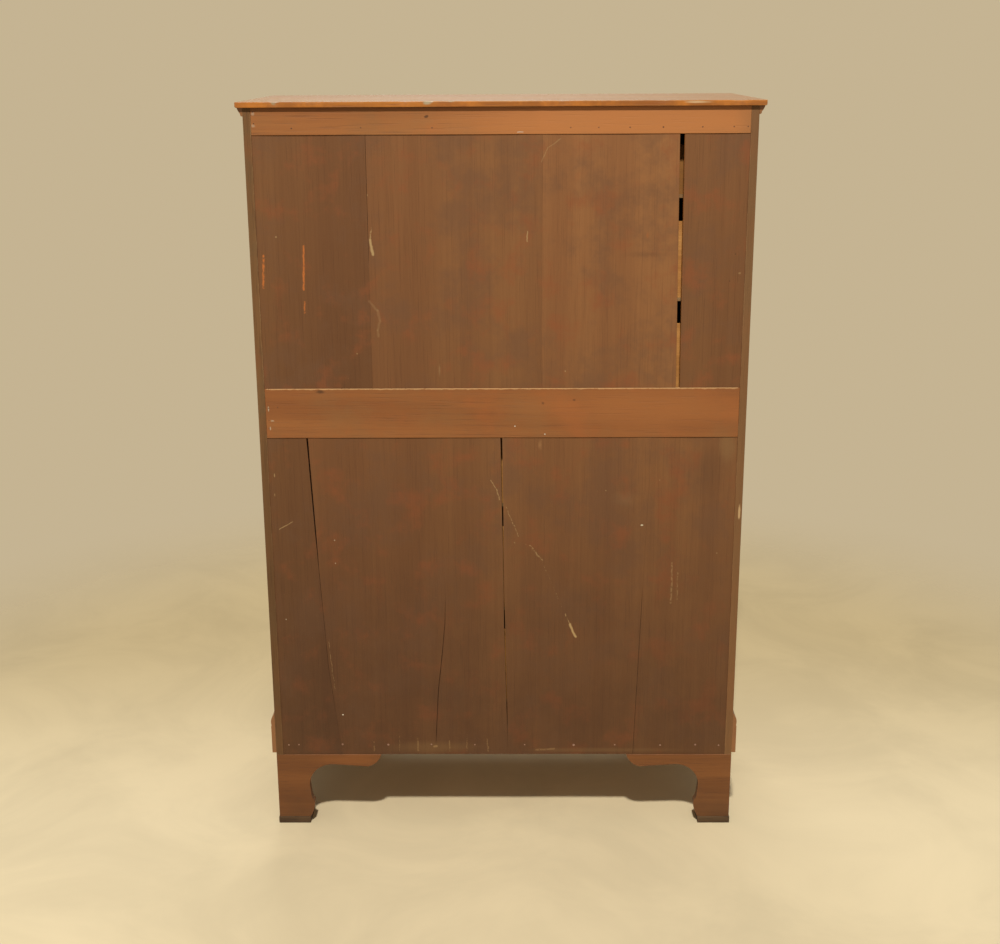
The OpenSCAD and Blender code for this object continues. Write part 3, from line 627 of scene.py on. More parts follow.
BACK_BOARD = WoodFinish(
    name="back boards", dark=(0.124, 0.0465, 0.0155), mid=(0.202, 0.082, 0.0262),
    pale=(0.247, 0.105, 0.033), pore=(0.09, 0.034, 0.012), worn=(0.34, 0.17, 0.07),
    cut=(0.1, 0.05, 0.03), roughness=0.66, stretch=26.0, ring_scale=5.0, figure=0.12, pores=0.24,
    # Painted shade: the grime colour is laid almost evenly and thickens downwards, so the boards
    # darken towards the bottom where less light falls, with some real dirt in it.
    wear_and_highlight=0.25, relief=0.00025, grime_and_shade=(0.055, 0.024, 0.01), grime_and_shade_share=0.62,
    grime_and_shade_heights=(1.05, 0.15), grime_and_shade_even=0.7, speckle=0.4, blotch=0.55, blotch_scale=13.0,
    warm=(0.28, 0.082, 0.024), dull=(0.165, 0.076, 0.033), streak_share=0.13,
    scratches=(
        Scratch(((0.4637, 1.2382), (0.4667, 1.1752)), 0.003, RUST_ORANGE, 0.9),
        Scratch(((0.3844, 1.2552), (0.3879, 1.1708)), 0.0026, RUST_ORANGE, 0.9, 0.4),
        Scratch(((0.3869, 1.147), (0.3878, 1.125)), 0.0022, RUST_ORANGE, 0.7),
        Scratch(((0.2522, 1.29), (0.2545, 1.268)), 0.002, BONE, 0.6),
        Scratch(((0.2542, 1.267), (0.25, 1.239)), 0.0038, BONE, 0.95, 0.3),
        Scratch(((0.26, 1.148), (0.244, 1.13), (0.24, 1.11)), 0.0034, BONE, 0.16, 0.4),
        Scratch(((0.24, 1.108), (0.245, 1.09), (0.244, 1.078)), 0.0034, BONE, 0.16, 0.4),
        Scratch(((-0.0507, 1.2825), (-0.0507, 1.2632)), 0.0018, BONE, 0.7, 0.4),
        Scratch(((-0.0778, 1.4147), (-0.0899, 1.4415), (-0.1141, 1.4581)), 0.0012, BONE, 0.35, 0.4),
        Scratch(((0.4594, 0.676), (0.4318, 0.6911)), 0.0013, BONE, 0.6, 0.4),
        Scratch(((-0.3505, 0.6), (-0.3506, 0.5122)), 0.0026, BONE, 0.32, 0.46),
        Scratch(((-0.3632, 0.5809), (-0.3629, 0.5189)), 0.0016, BONE, 0.3, 0.5),
        Scratch(((0.0235, 0.7804), (0.0112, 0.7596), (0.0053, 0.7377)), 0.0015, BONE, 0.6),
        Scratch(((-0.0069, 0.7227), (-0.0333, 0.66)), 0.0015, BONE, 0.5, 0.5),
        Scratch(((-0.042, 0.649), (-0.0806, 0.6075), (-0.1227, 0.5053)), 0.0014, BONE, 0.35, 0.56),
        Scratch(((-0.0561, 0.6389), (-0.0838, 0.6061)), 0.002, BONE, 0.45, 0.49),
        Scratch(((-0.13, 0.488), (-0.142, 0.46)), 0.0014, BONE, 0.6, 0.46),
        Scratch(((-0.14, 0.465), (-0.152, 0.436)), 0.0034, BONE, 0.9, 0.34),
        Scratch(((0.279, 0.172), (0.278, 0.194)), 0.0018, DIRT, 0.35, 0.48),
        Scratch(((0.224, 0.172), (0.223, 0.208)), 0.0016, DIRT, 0.3, 0.48),
        Scratch(((0.184, 0.172), (0.185, 0.201)), 0.0022, DIRT, 0.45, 0.46),
        Scratch(((0.15, 0.182), (0.144, 0.183)), 0.0036, DIRT, 0.7, 0.38),
        Scratch(((0.116, 0.172), (0.117, 0.196)), 0.0022, DIRT, 0.45, 0.46),
        Scratch(((0.079, 0.172), (0.078, 0.21)), 0.0018, DIRT, 0.35, 0.48),
        Scratch(((0.033, 0.172), (0.035, 0.2)), 0.0022, DIRT, 0.4, 0.46),
        Scratch(((-0.07, 0.174), (-0.108, 0.177)), 0.003, DIRT, 0.45, 0.44),
        Scratch(((0.368, 0.4278), (0.3608, 0.3431), (0.3575, 0.3153)), 0.0014, BONE, 0.28, 0.48),
    ),
    spots=(
        Spot((-0.421, 0.795), (0.06, 0.095), (0.095, 0.045, 0.02), 0.32, 0.9),
        Spot((-0.456, 0.85), (0.022, 0.05), (0.24, 0.125, 0.045), 0.6, 0.7),
        Spot((0.145, 0.18), (0.13, 0.018), DUST, 0.35, 0.9),
        Spot((-0.2, 0.174), (0.24, 0.007), DUST, 0.3, 0.9),
        Spot((-0.2861, 0.6832), (0.0036, 0.0022), (0.62, 0.52, 0.34)),
        Spot((0.3466, 0.6519), (0.0014, 0.0014), SPECK, 0.9),
        Spot((0.3466, 0.6015), (0.0012, 0.0016), SPECK, 0.8),
        Spot((0.455, 0.4766), (0.0014, 0.0014), SPECK, 0.8),
        Spot((0.3435, 0.2575), (0.0022, 0.0016), CHALK),
        Spot((0.4376, 1.2744), (0.002, 0.0024), BONE, 0.7, 0.7),
        Spot((0.2576, 1.3537), (0.0016, 0.003), BONE, 0.5, 0.8),
        Spot((0.2873, 1.0431), (0.0018, 0.0022), BONE, 0.5, 0.8),
        Spot((0.1242, 1.0105), (0.0026, 0.017), DIRT, 0.5, 0.9),
        Spot((-0.1264, 1.0064), (0.0014, 0.0022), BONE, 0.7, 0.7),
        Spot((-0.2839, 1.2738), (0.004, 0.0085), (0.4, 0.125, 0.03), 0.45, 0.9),
        Spot((-0.285, 1.2375), (0.06, 0.0085), (0.1, 0.04, 0.014), 0.22, 0.95),
        Spot((-0.4556, 1.2375), (0.0016, 0.0018), DARK_HOLE, 0.7, 0.7),
        Spot((-0.4462, 1.185), (0.0016, 0.0018), DARK_HOLE, 0.6, 0.7),
        Spot((-0.465, 1.2003), (0.004, 0.0026), BONE, 0.4, 0.8),
        Spot((-0.077, 0.856), (0.006, 0.015), (0.4, 0.2, 0.075), 0.45, 0.9),
        Spot((-0.25, 0.738), (0.034, 0.026), (0.3, 0.175, 0.075), 0.2, 0.95),
        Spot((-0.2111, 0.7575), (0.0014, 0.0016), BONE, 0.6, 0.7),
        Spot((-0.3202, 0.7795), (0.0018, 0.002), BONE, 0.4, 0.8),
        Spot((-0.442, 0.622), (0.002, 0.0022), BONE, 0.5, 0.8),
        Spot((-0.0247, 0.6461), (0.0022, 0.0026), BONE, 0.4, 0.8),
        Spot((0.464, 0.7915), (0.0014, 0.005), BONE, 0.6, 0.7),
        Spot((0.4655, 0.75), (0.0014, 0.004), BONE, 0.5, 0.7),
    ))

BACK_RAIL = WoodFinish(
    name="back rails", dark=(0.2, 0.064, 0.017), mid=(0.335, 0.117, 0.03),
    pale=(0.425, 0.164, 0.044), pore=(0.13, 0.046, 0.015), worn=(0.58, 0.29, 0.11),
    cut=(0.2, 0.09, 0.04), roughness=0.58, stretch=22.0, ring_scale=7.0, figure=0.28, pores=0.3,
    # Painted highlight and shade: the rubbed arrises are partly a painted highlight, and the grime
    # colour, laid half evenly, is painted shade darkening the rails downwards, most on the middle
    # rail's lower edge.
    wear_and_highlight=0.7, grime_and_shade_share=0.25, grime_and_shade_heights=(1.2, 0.6), grime_and_shade_even=0.4,
    speckle=0.2, blotch=0.4, blotch_scale=9.0, warm=(0.48, 0.135, 0.03), dull=(0.27, 0.135, 0.046),
    streak_share=0.18,
    scratches=(
        # Painted highlight along the top arris of the middle rail, partly rubbed wear.
        Scratch(((0.47, 0.9716), (-0.47, 0.9716)), 0.0022, (0.62, 0.36, 0.15), 0.7, 0.38),
        Scratch(((-0.0326, 1.4708), (-0.0427, 1.4711)), 0.0011, (0.7, 0.6, 0.45), 0.8, 0.35),
    ),
    spots=(
        Spot((-0.25, 1.49), (0.55, 0.07), (0.54, 0.205, 0.058), 0.85, 0.9),
        Spot((-0.3, 0.93), (0.35, 0.07), (0.4, 0.145, 0.038), 0.6, 0.9),
        Spot((-0.485, 1.49), (0.045, 0.08), (0.27, 0.13, 0.048), 0.4, 0.95),
        Spot((0.4704, 1.5065), (0.0045, 0.004), NAIL_STAIN, 0.8),
        Spot((0.4707, 1.4843), (0.0045, 0.004), NAIL_STAIN, 0.8),
        Spot((0.1412, 1.5002), (0.005, 0.004), (0.07, 0.03, 0.012), 0.8, 0.7),
        Spot((0.3643, 0.9658), (0.015, 0.0055), (0.07, 0.03, 0.012), 0.75, 0.9),
        Spot((-0.0822, 0.9414), (0.0042, 0.0036), FAINT_HOLE, 0.6, 0.8),
        Spot((-0.1444, 0.9475), (0.0042, 0.0036), FAINT_HOLE, 0.6, 0.8),
        Spot((0.469, 0.931), (0.0016, 0.006), STOPPING, 0.8, 0.6),
        Spot((0.462, 0.9065), (0.0048, 0.0026), STOPPING, 0.7, 0.7),
        Spot((0.467, 0.8905), (0.0016, 0.005), STOPPING, 0.7, 0.6),
        Spot((-0.026, 0.894), (0.002, 0.0016), CHALK),
        Spot((-0.0864, 0.8773), (0.0018, 0.0016), CHALK, 0.9),
    ))

POLISHED = WoodFinish(
    name="polished mahogany", dark=(0.095, 0.026, 0.01), mid=(0.23, 0.072, 0.024),
    pale=(0.32, 0.115, 0.038), pore=(0.05, 0.014, 0.006), worn=(0.5, 0.23, 0.09),
    cut=(0.3, 0.13, 0.045), roughness=0.38, coat=0.35, stretch=14.0, ring_scale=6.0, figure=0.45,
    wear_and_highlight=0.7, relief=0.0002, grime_and_shade_share=0.35, grime_and_shade_heights=(0.5, 0.05))

FOOT_WOOD = WoodFinish(
    name="foot mahogany", dark=(0.11, 0.036, 0.009), mid=(0.19, 0.066, 0.016),
    pale=(0.255, 0.095, 0.024), pore=(0.07, 0.024, 0.008), worn=(0.42, 0.19, 0.07),
    cut=(0.13, 0.06, 0.03), roughness=0.48, coat=0.1, stretch=12.0, ring_scale=6.0,
    pores=0.35, wear_and_highlight=0.6, grime_and_shade=(0.06, 0.03, 0.014), grime_and_shade_share=0.6,
    grime_and_shade_heights=(0.12, 0.0), grime_and_shade_even=0.3, streak_share=0.3,
    spots=(Spot((0.33, 0.152), (0.1, 0.022), (0.32, 0.108, 0.024), 0.35, 0.7),))

FIGURED = WoodFinish(
    name="figured mahogany", dark=(0.105, 0.025, 0.009), mid=(0.3, 0.095, 0.028),
    pale=(0.43, 0.165, 0.05), pore=(0.06, 0.016, 0.006), worn=(0.5, 0.23, 0.09),
    cut=(0.16, 0.06, 0.025), roughness=0.32, coat=0.55, stretch=5.0, ring_scale=4.2, figure=0.75,
    pores=0.45, relief=0.00012, grime_and_shade_share=0.0, mirrored=True)

BEAD = WoodFinish(
    name="cock bead mahogany", dark=(0.07, 0.02, 0.008), mid=(0.15, 0.045, 0.016),
    pale=(0.21, 0.07, 0.024), pore=(0.04, 0.012, 0.006), worn=(0.44, 0.19, 0.07),
    cut=(0.1, 0.04, 0.02), roughness=0.34, coat=0.45, stretch=20.0, figure=0.3, wear_and_highlight=0.8,
    wear_and_highlight_radius=0.0012, relief=0.0001, grime_and_shade_share=0.0)

SIDE_EDGE = WoodFinish(
    name="dull back edge", dark=(0.105, 0.046, 0.015), mid=(0.18, 0.082, 0.026),
    pale=(0.24, 0.115, 0.037), pore=(0.07, 0.032, 0.012), worn=(0.46, 0.29, 0.13),
    # The pale rubbed outer arris is partly a painted highlight.
    cut=(0.1, 0.06, 0.03), roughness=0.7, stretch=18.0, figure=0.2, wear_and_highlight=0.9, wear_and_highlight_radius=0.0026,
    grime_and_shade=(0.075, 0.038, 0.014), grime_and_shade_share=0.4, grime_and_shade_heights=(1.2, 0.2), grime_and_shade_even=0.5,
    blotch=0.5, blotch_scale=12.0, warm=(0.23, 0.085, 0.026), dull=(0.15, 0.09, 0.036),
    streak_share=0.25,
    spots=(Spot((-0.48, 0.9), (0.06, 2.0), (0.265, 0.125, 0.046), 0.45, 0.4),
           Spot((0.48, 0.35), (0.06, 0.65), (0.09, 0.04, 0.012), 0.45, 0.8),
           Spot((-0.4842, 0.71), (0.003, 0.019), (0.62, 0.4, 0.19), 0.85)))

# Faded mahogany, partly painted reflection: the pale top stands in part for the pale wall mirrored
# at a grazing angle.
FADED_WITH_PAINTED_REFLECTION = WoodFinish(
    name="faded top", dark=(0.22, 0.083, 0.022), mid=(0.365, 0.16, 0.042), pale=(0.45, 0.215, 0.06),
    pore=(0.12, 0.045, 0.016), worn=(0.6, 0.34, 0.14), cut=(0.25, 0.11, 0.04), roughness=0.46,
    specular=0.5, coat=0.45, stretch=14.0, figure=0.4, pores=0.4, wear_and_highlight=0.6, relief=0.0002,
    grime_and_shade_share=0.0, blotch=0.35, warm=(0.38, 0.13, 0.04), dull=(0.3, 0.16, 0.065))

TOP_EDGE = WoodFinish(
    name="worn top edge", dark=(0.26, 0.08, 0.013), mid=(0.51, 0.172, 0.024),
    pale=(0.67, 0.26, 0.038), pore=(0.16, 0.05, 0.012), worn=(0.8, 0.44, 0.14),
    # The pale rubbed arris along this edge is partly a painted highlight.
    cut=(0.25, 0.11, 0.04), stretch=20.0, figure=0.4, wear_and_highlight=0.8, relief=0.0004,
    grime_and_shade_share=0.0,
    blotch=0.7, warm=(0.64, 0.215, 0.026), dull=(0.33, 0.105, 0.022),
    spots=(Spot((0.4288, 1.5265), (0.0065, 0.005), (0.34, 0.27, 0.15), 0.8, 0.7),
           Spot((0.1385, 1.5265), (0.01, 0.0055), (0.46, 0.38, 0.23), 0.9, 0.7),
           Spot((0.129, 1.529), (0.004, 0.003), (0.66, 0.58, 0.4), 0.9, 0.6),
           Spot((0.093, 1.529), (0.009, 0.0028), (0.42, 0.36, 0.22), 0.7, 0.6),
           Spot((-0.37, 1.525), (0.032, 0.0026), (0.72, 0.5, 0.26), 0.75, 0.6),
           Spot((-0.355, 1.529), (0.025, 0.002), (0.26, 0.15, 0.06), 0.5, 0.7)))

PINE = WoodFinish(
    name="pine", dark=(0.24, 0.12, 0.045), mid=(0.42, 0.25, 0.11), pale=(0.53, 0.35, 0.17),
    pore=(0.2, 0.1, 0.04), worn=(0.6, 0.42, 0.22), cut=(0.3, 0.18, 0.09), roughness=0.65,
    stretch=18.0, ring_scale=10.0, figure=0.55, pores=0.15, wear_and_highlight=0.3,
    grime_and_shade_heights=(2.0, 0.1))

OAK = WoodFinish(
    name="oak lining", dark=(0.25, 0.125, 0.048), mid=(0.395, 0.215, 0.085),
    pale=(0.49, 0.285, 0.12), pore=(0.15, 0.075, 0.03), worn=(0.55, 0.38, 0.2),
    cut=(0.235, 0.13, 0.058), roughness=0.55, ring_scale=12.0, pores=0.6,
    wear_and_highlight=0.35, grime_and_shade_share=0.2, grime_and_shade_heights=(2.0, 0.1))

DRAWER_BACK = WoodFinish(
    name="raw pine", dark=(0.44, 0.165, 0.036), mid=(0.7, 0.3, 0.07),
    pale=(0.8, 0.38, 0.105), pore=(0.3, 0.12, 0.04), worn=(0.8, 0.5, 0.22),
    cut=(0.34, 0.16, 0.06), roughness=0.6, stretch=14.0, figure=0.3, pores=0.15,
    wear_and_highlight=0.3, grime_and_shade_share=0.05, grime_and_shade_heights=(2.0, 0.1))

PAD_WOOD = WoodFinish(
    name="worn pad", dark=(0.05, 0.026, 0.012), mid=(0.11, 0.06, 0.026), pale=(0.165, 0.095, 0.042),
    pore=(0.02, 0.01, 0.006), worn=(0.22, 0.13, 0.07), cut=(0.06, 0.03, 0.018), roughness=0.75,
    stretch=8.0, figure=0.4, wear_and_highlight=0.6, relief=0.0008, grime_and_shade_share=0.5, grime_and_shade_heights=(0.03, 0.0))

# Painted shade: a darker copy of the drawer backs for the two short drawers, whose backs lie in
# shade behind the gap.
SHADED_DRAWER_BACK = replace(
    DRAWER_BACK, name="dull raw pine", dark=(0.23, 0.09, 0.018), mid=(0.37, 0.15, 0.03),
    pale=(0.43, 0.19, 0.042), pore=(0.14, 0.06, 0.02), worn=(0.5, 0.3, 0.12),
    cut=(0.2, 0.1, 0.04), roughness=0.65, pores=0.2, grime_and_shade_share=0.1)

BRASS = MetalFinish("aged brass", (0.74, 0.51, 0.2), (0.3, 0.19, 0.075), 0.24, 0.55)
STEEL = MetalFinish("lock steel", (0.3, 0.28, 0.26), (0.1, 0.075, 0.055), 0.42, 0.7)
IRON = MetalFinish("nail rust", (0.17, 0.075, 0.035), (0.085, 0.04, 0.02), 0.75, 0.8, 0.2)
PALE_NAIL = MetalFinish("stopped nail hole", (0.36, 0.21, 0.14), (0.23, 0.12, 0.075), 0.8, 0.8, 0.0)


# Meshes

WELD = 2e-6
FLAT_BEND = math.radians(0.4)


def new_object(name: str, mesh: bpy.types.Mesh) -> Object:
    """Puts a mesh into the scene.

    Args:
        name: Name of the piece.
        mesh: Its mesh, in the frame of the chest.

    Returns:
        The new object, at the origin.
    """
    made = bpy.data.objects.new(name, mesh)
    bpy.context.scene.collection.objects.link(made)
    return made


def report(piece: Object) -> None:
    """Tells the log that a piece is made."""
    LOG.info("%s: %d faces", piece.name, len(piece.data.polygons))


def as_plain_mesh(piece: Object) -> Object:
    """Turns what the modifiers make of a piece into its own mesh, and removes them.

    Args:
        piece: A piece with modifiers.

    Returns:
        The same piece.
    """
    graph = bpy.context.evaluated_depsgraph_get()
    mesh = bpy.data.meshes.new_from_object(piece.evaluated_get(graph), depsgraph=graph)
    mesh.name = piece.name
    piece.modifiers.clear()
    piece.data = mesh
    return piece


def merged(node: str) -> Shape:
    """A copy of a solid's mesh with its loose triangles joined and its flat faces made whole.

    Args:
        node: Name of the solid's node.

    Returns:
        The copy.
    """
    shape = bmesh.new()
    shape.from_mesh(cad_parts[node].data)
    bmesh.ops.remove_doubles(shape, verts=shape.verts, dist=WELD)
    bmesh.ops.dissolve_limit(shape, angle_limit=FLAT_BEND, verts=shape.verts, edges=shape.edges)
    return shape


def slice_through(shape: Shape, place: Sequence[float], facing: Sequence[float]) -> None:
    """Cuts every face that a plane crosses in two, so that it can be bent there."""
    bmesh.ops.bisect_plane(shape, geom=[*shape.verts, *shape.edges, *shape.faces],
                           plane_co=place, plane_no=facing)


@dataclass(frozen=True)
class Easing:
    """How the sharp edges of a piece are taken off."""

    width: float = 0.0007
    steps: int = 2
    from_angle: float = math.radians(30)

    def apply(self, shape: Shape) -> None:
        """Rounds every sharp outer edge.

        Args:
            shape: The mesh to change.
        """
        sharp = [edge for edge in shape.edges
                 if edge.is_manifold and edge.is_convex
                 and edge.calc_face_angle(0.0) > self.from_angle]
        if self.width and sharp:
            bmesh.ops.bevel(shape, geom=sharp, offset=self.width, segments=self.steps, profile=0.5,
                            affect="EDGES", clamp_overlap=True)


def finished(name: str, shape: Shape, sharp_from: float = math.radians(40)) -> Object:
    """Makes a piece of a mesh, with smooth shading that keeps its flat faces flat.

    Args:
        name: Name of the piece.
        shape: Its mesh, which is freed.
        sharp_from: The angle from which an edge stays sharp.

    Returns:
        The piece.
    """
    for face in shape.faces:
        face.smooth = True
    for edge in shape.edges:
        edge.smooth = edge.is_manifold and edge.calc_face_angle(0.0) < sharp_from
    mesh = bpy.data.meshes.new(name)
    shape.to_mesh(mesh)
    shape.free()
    piece = new_object(name, mesh)
    weighted = piece.modifiers.new("even shading", "WEIGHTED_NORMAL")
    weighted.keep_sharp = True
    weighted.weight = 80
    return as_plain_mesh(piece)


Chooser = Callable[[Vector, Vector], int]


def dress(piece: Object, materials: Sequence[Material], choose: Chooser | None = None) -> None:
    """Gives each solid of a piece one of the materials.

    Args:
        piece: The piece.
        materials: The materials to choose from.
        choose: Says which one a solid takes, from its lowest and highest corners.
    """
    piece.data.materials.clear()
    for material in materials:
        piece.data.materials.append(material)
    if choose is None:
        return
    shape = bmesh.new()
    shape.from_mesh(piece.data)
    seen: set[bmesh.types.BMFace] = set()
    for first in shape.faces:
        if first in seen:
            continue
        solid, rest = [], [first]
        seen.add(first)
        while rest:
            face = rest.pop()
            solid.append(face)
            for edge in face.edges:
                for other in edge.link_faces:
                    if other not in seen:
                        seen.add(other)
                        rest.append(other)
        corners = [vert.co for face in solid for vert in face.verts]
        low = Vector([min(c[i] for c in corners) for i in range(3)])
        high = Vector([max(c[i] for c in corners) for i in range(3)])
        index = choose(low, high)
        for face in solid:
            face.material_index = index
    shape.to_mesh(piece.data)
    shape.free()


def set_tone(piece: Object, tones: Sequence[float]) -> None:
    """Makes a piece a little lighter or darker than its fellows, and, point by point, can paint
    light and shade along it.

    Args:
        piece: The piece.
        tones: Share of its colour to add, for each of its points or for all of them.
    """
    marks = piece.data.attributes.new("tone", "FLOAT", "POINT")
    count = len(piece.data.vertices)
    marks.data.foreach_set("value", list(tones) if len(tones) == count else [tones[0]] * count)


def eased_copy(node: str, body: str, easing: Easing = Easing()) -> Object:
    """Stands a copy of a solid with softened edges in its place.

    Args:
        node: Name of the solid's node.
        body: The body that it rides on.
        easing: How its edges are taken off.

    Returns:
        The copy.
    """
    shape = merged(node)
    easing.apply(shape)
    piece = finished(node + "_eased", shape)
    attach(piece, body)
    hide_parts(node)
    report(piece)
    return piece


# Repeated and swept pieces, made by geometry nodes


def run_tree(piece: Object, tree: Tree, values: dict[str, object]) -> Object:
    """Runs a geometry tree on a piece, and keeps what it makes as the piece's plain mesh.

    Args:
        piece: The piece, whose mesh the tree starts from.
        tree: The tree.
        values: The value of each named input.

    Returns:
        The same piece.
    """
    modifier = piece.modifiers.new(tree.name, "NODES")
    modifier.node_group = tree
    for item in tree.interface.items_tree:
        if item.item_type == "SOCKET" and item.in_out == "INPUT" and item.name in values:
            modifier[item.identifier] = values[item.name]
    return as_plain_mesh(piece)


class Scatter:
    """Sets a small piece on each of a list of places."""

    sharp_from = math.radians(35)

    def __init__(self) -> None:
        """Builds the tree once, with its sizes as named inputs."""
        wires = new_tree("set in place", "GeometryNodeTree",
                         {"Geometry": SHAPE, "Piece": "NodeSocketObject", "Least Size": NUMBER,
                          "Largest Size": NUMBER, "Spin": NUMBER, "Seed": "NodeSocketInt",
                          "Material": "NodeSocketMaterial"},
                         {"Geometry": SHAPE})
        given = wires.given()
        size, spin = (
            wires.add("FunctionNodeRandomValue", {2: low, 3: high, 8: given["Seed"]},
                      data_type="FLOAT").outputs[1]
            for low, high in ((given["Least Size"], given["Largest Size"]), (0.0, given["Spin"])))
        turn = wires.add("ShaderNodeCombineXYZ", {1: spin}).outputs[0]
        source = wires.add("GeometryNodeObjectInfo", {"Object": given["Piece"]})
        placed = wires.add("GeometryNodeInstanceOnPoints",
                           {"Points": given["Geometry"], "Instance": source.outputs["Geometry"],
                            "Rotation": turn, "Scale": size})
        real = wires.add("GeometryNodeRealizeInstances", {0: placed.outputs[0]})
        coated = wires.add("GeometryNodeSetMaterial",
                           {"Geometry": real.outputs[0], "Material": given["Material"]})
        self.tree = wires.give({"Geometry": coated.outputs[0]})

    def build(self, name: str, prototype: Shape, places: Iterable[Sequence[float]],
              material: Material, sizes: Point, seed: int) -> Object:
        """Sets the pieces, each turned about Y by chance.

        Args:
            name: Name of the result.
            prototype: The small piece at the origin, facing along Y, which is freed.
            places: Where each one goes.
            material: Their material.
            sizes: The least and the largest size.
            seed: The fixed seed of sizes and turns.

        Returns:
            One plain mesh with all of them.
        """
        for face in prototype.faces:
            face.smooth = True
        for edge in prototype.edges:
            edge.smooth = edge.calc_face_angle(0.0) < self.sharp_from
        mesh = bpy.data.meshes.new(name + " prototype")
        prototype.to_mesh(mesh)
        prototype.free()
        source = new_object(name + " prototype", mesh)
        points = bpy.data.meshes.new(name)
        points.from_pydata([tuple(place) for place in places], [], [])
        piece = run_tree(new_object(name, points), self.tree, {
            "Piece": source, "Least Size": sizes[0], "Largest Size": sizes[1], "Spin": math.tau,
            "Seed": seed, "Material": material})
        bpy.data.objects.remove(source)
        report(piece)
        return piece


SCATTER = Scatter()
NAIL_HEAD = ((0.0, -0.002), (0.0024, -0.002), (0.0024, 0.0), (0.0019, 0.0004), (0.0009, 0.0005),
             (0.0, 0.0004))
SCREW_HEAD = ((0.0, -0.002), (0.0028, -0.002), (0.0028, 0.0003), (0.002, 0.0009), (0.0, 0.001))


def turned(profile: Sequence[Point], sides: int) -> Shape:
    """Turns a profile about Y, from its first point on the axis to its last.

    Args:
        profile: Radius and place along Y of each step, the ends at radius 0.
        sides: Number of sides.

    Returns:
        The closed mesh.
    """
    shape = bmesh.new()
    rings = []
    for radius, along in profile:
        angles = [math.tau * k / sides for k in range(sides if radius else 1)]
        rings.append([shape.verts.new((radius * math.cos(angle), along, radius * math.sin(angle)))
                      for angle in angles])
    for first, second in zip(rings, rings[1:]):
        for k in range(sides):
            j = (k + 1) % sides
            corners = [first[k % len(first)], first[j % len(first)], second[j % len(second)],
                       second[k % len(second)]]
            shape.faces.new(list(dict.fromkeys(corners)))
    bmesh.ops.recalc_face_normals(shape, faces=shape.faces)
    return shape


# The back

NUDGE = 1e-5
SAME_PLACE = 1e-6


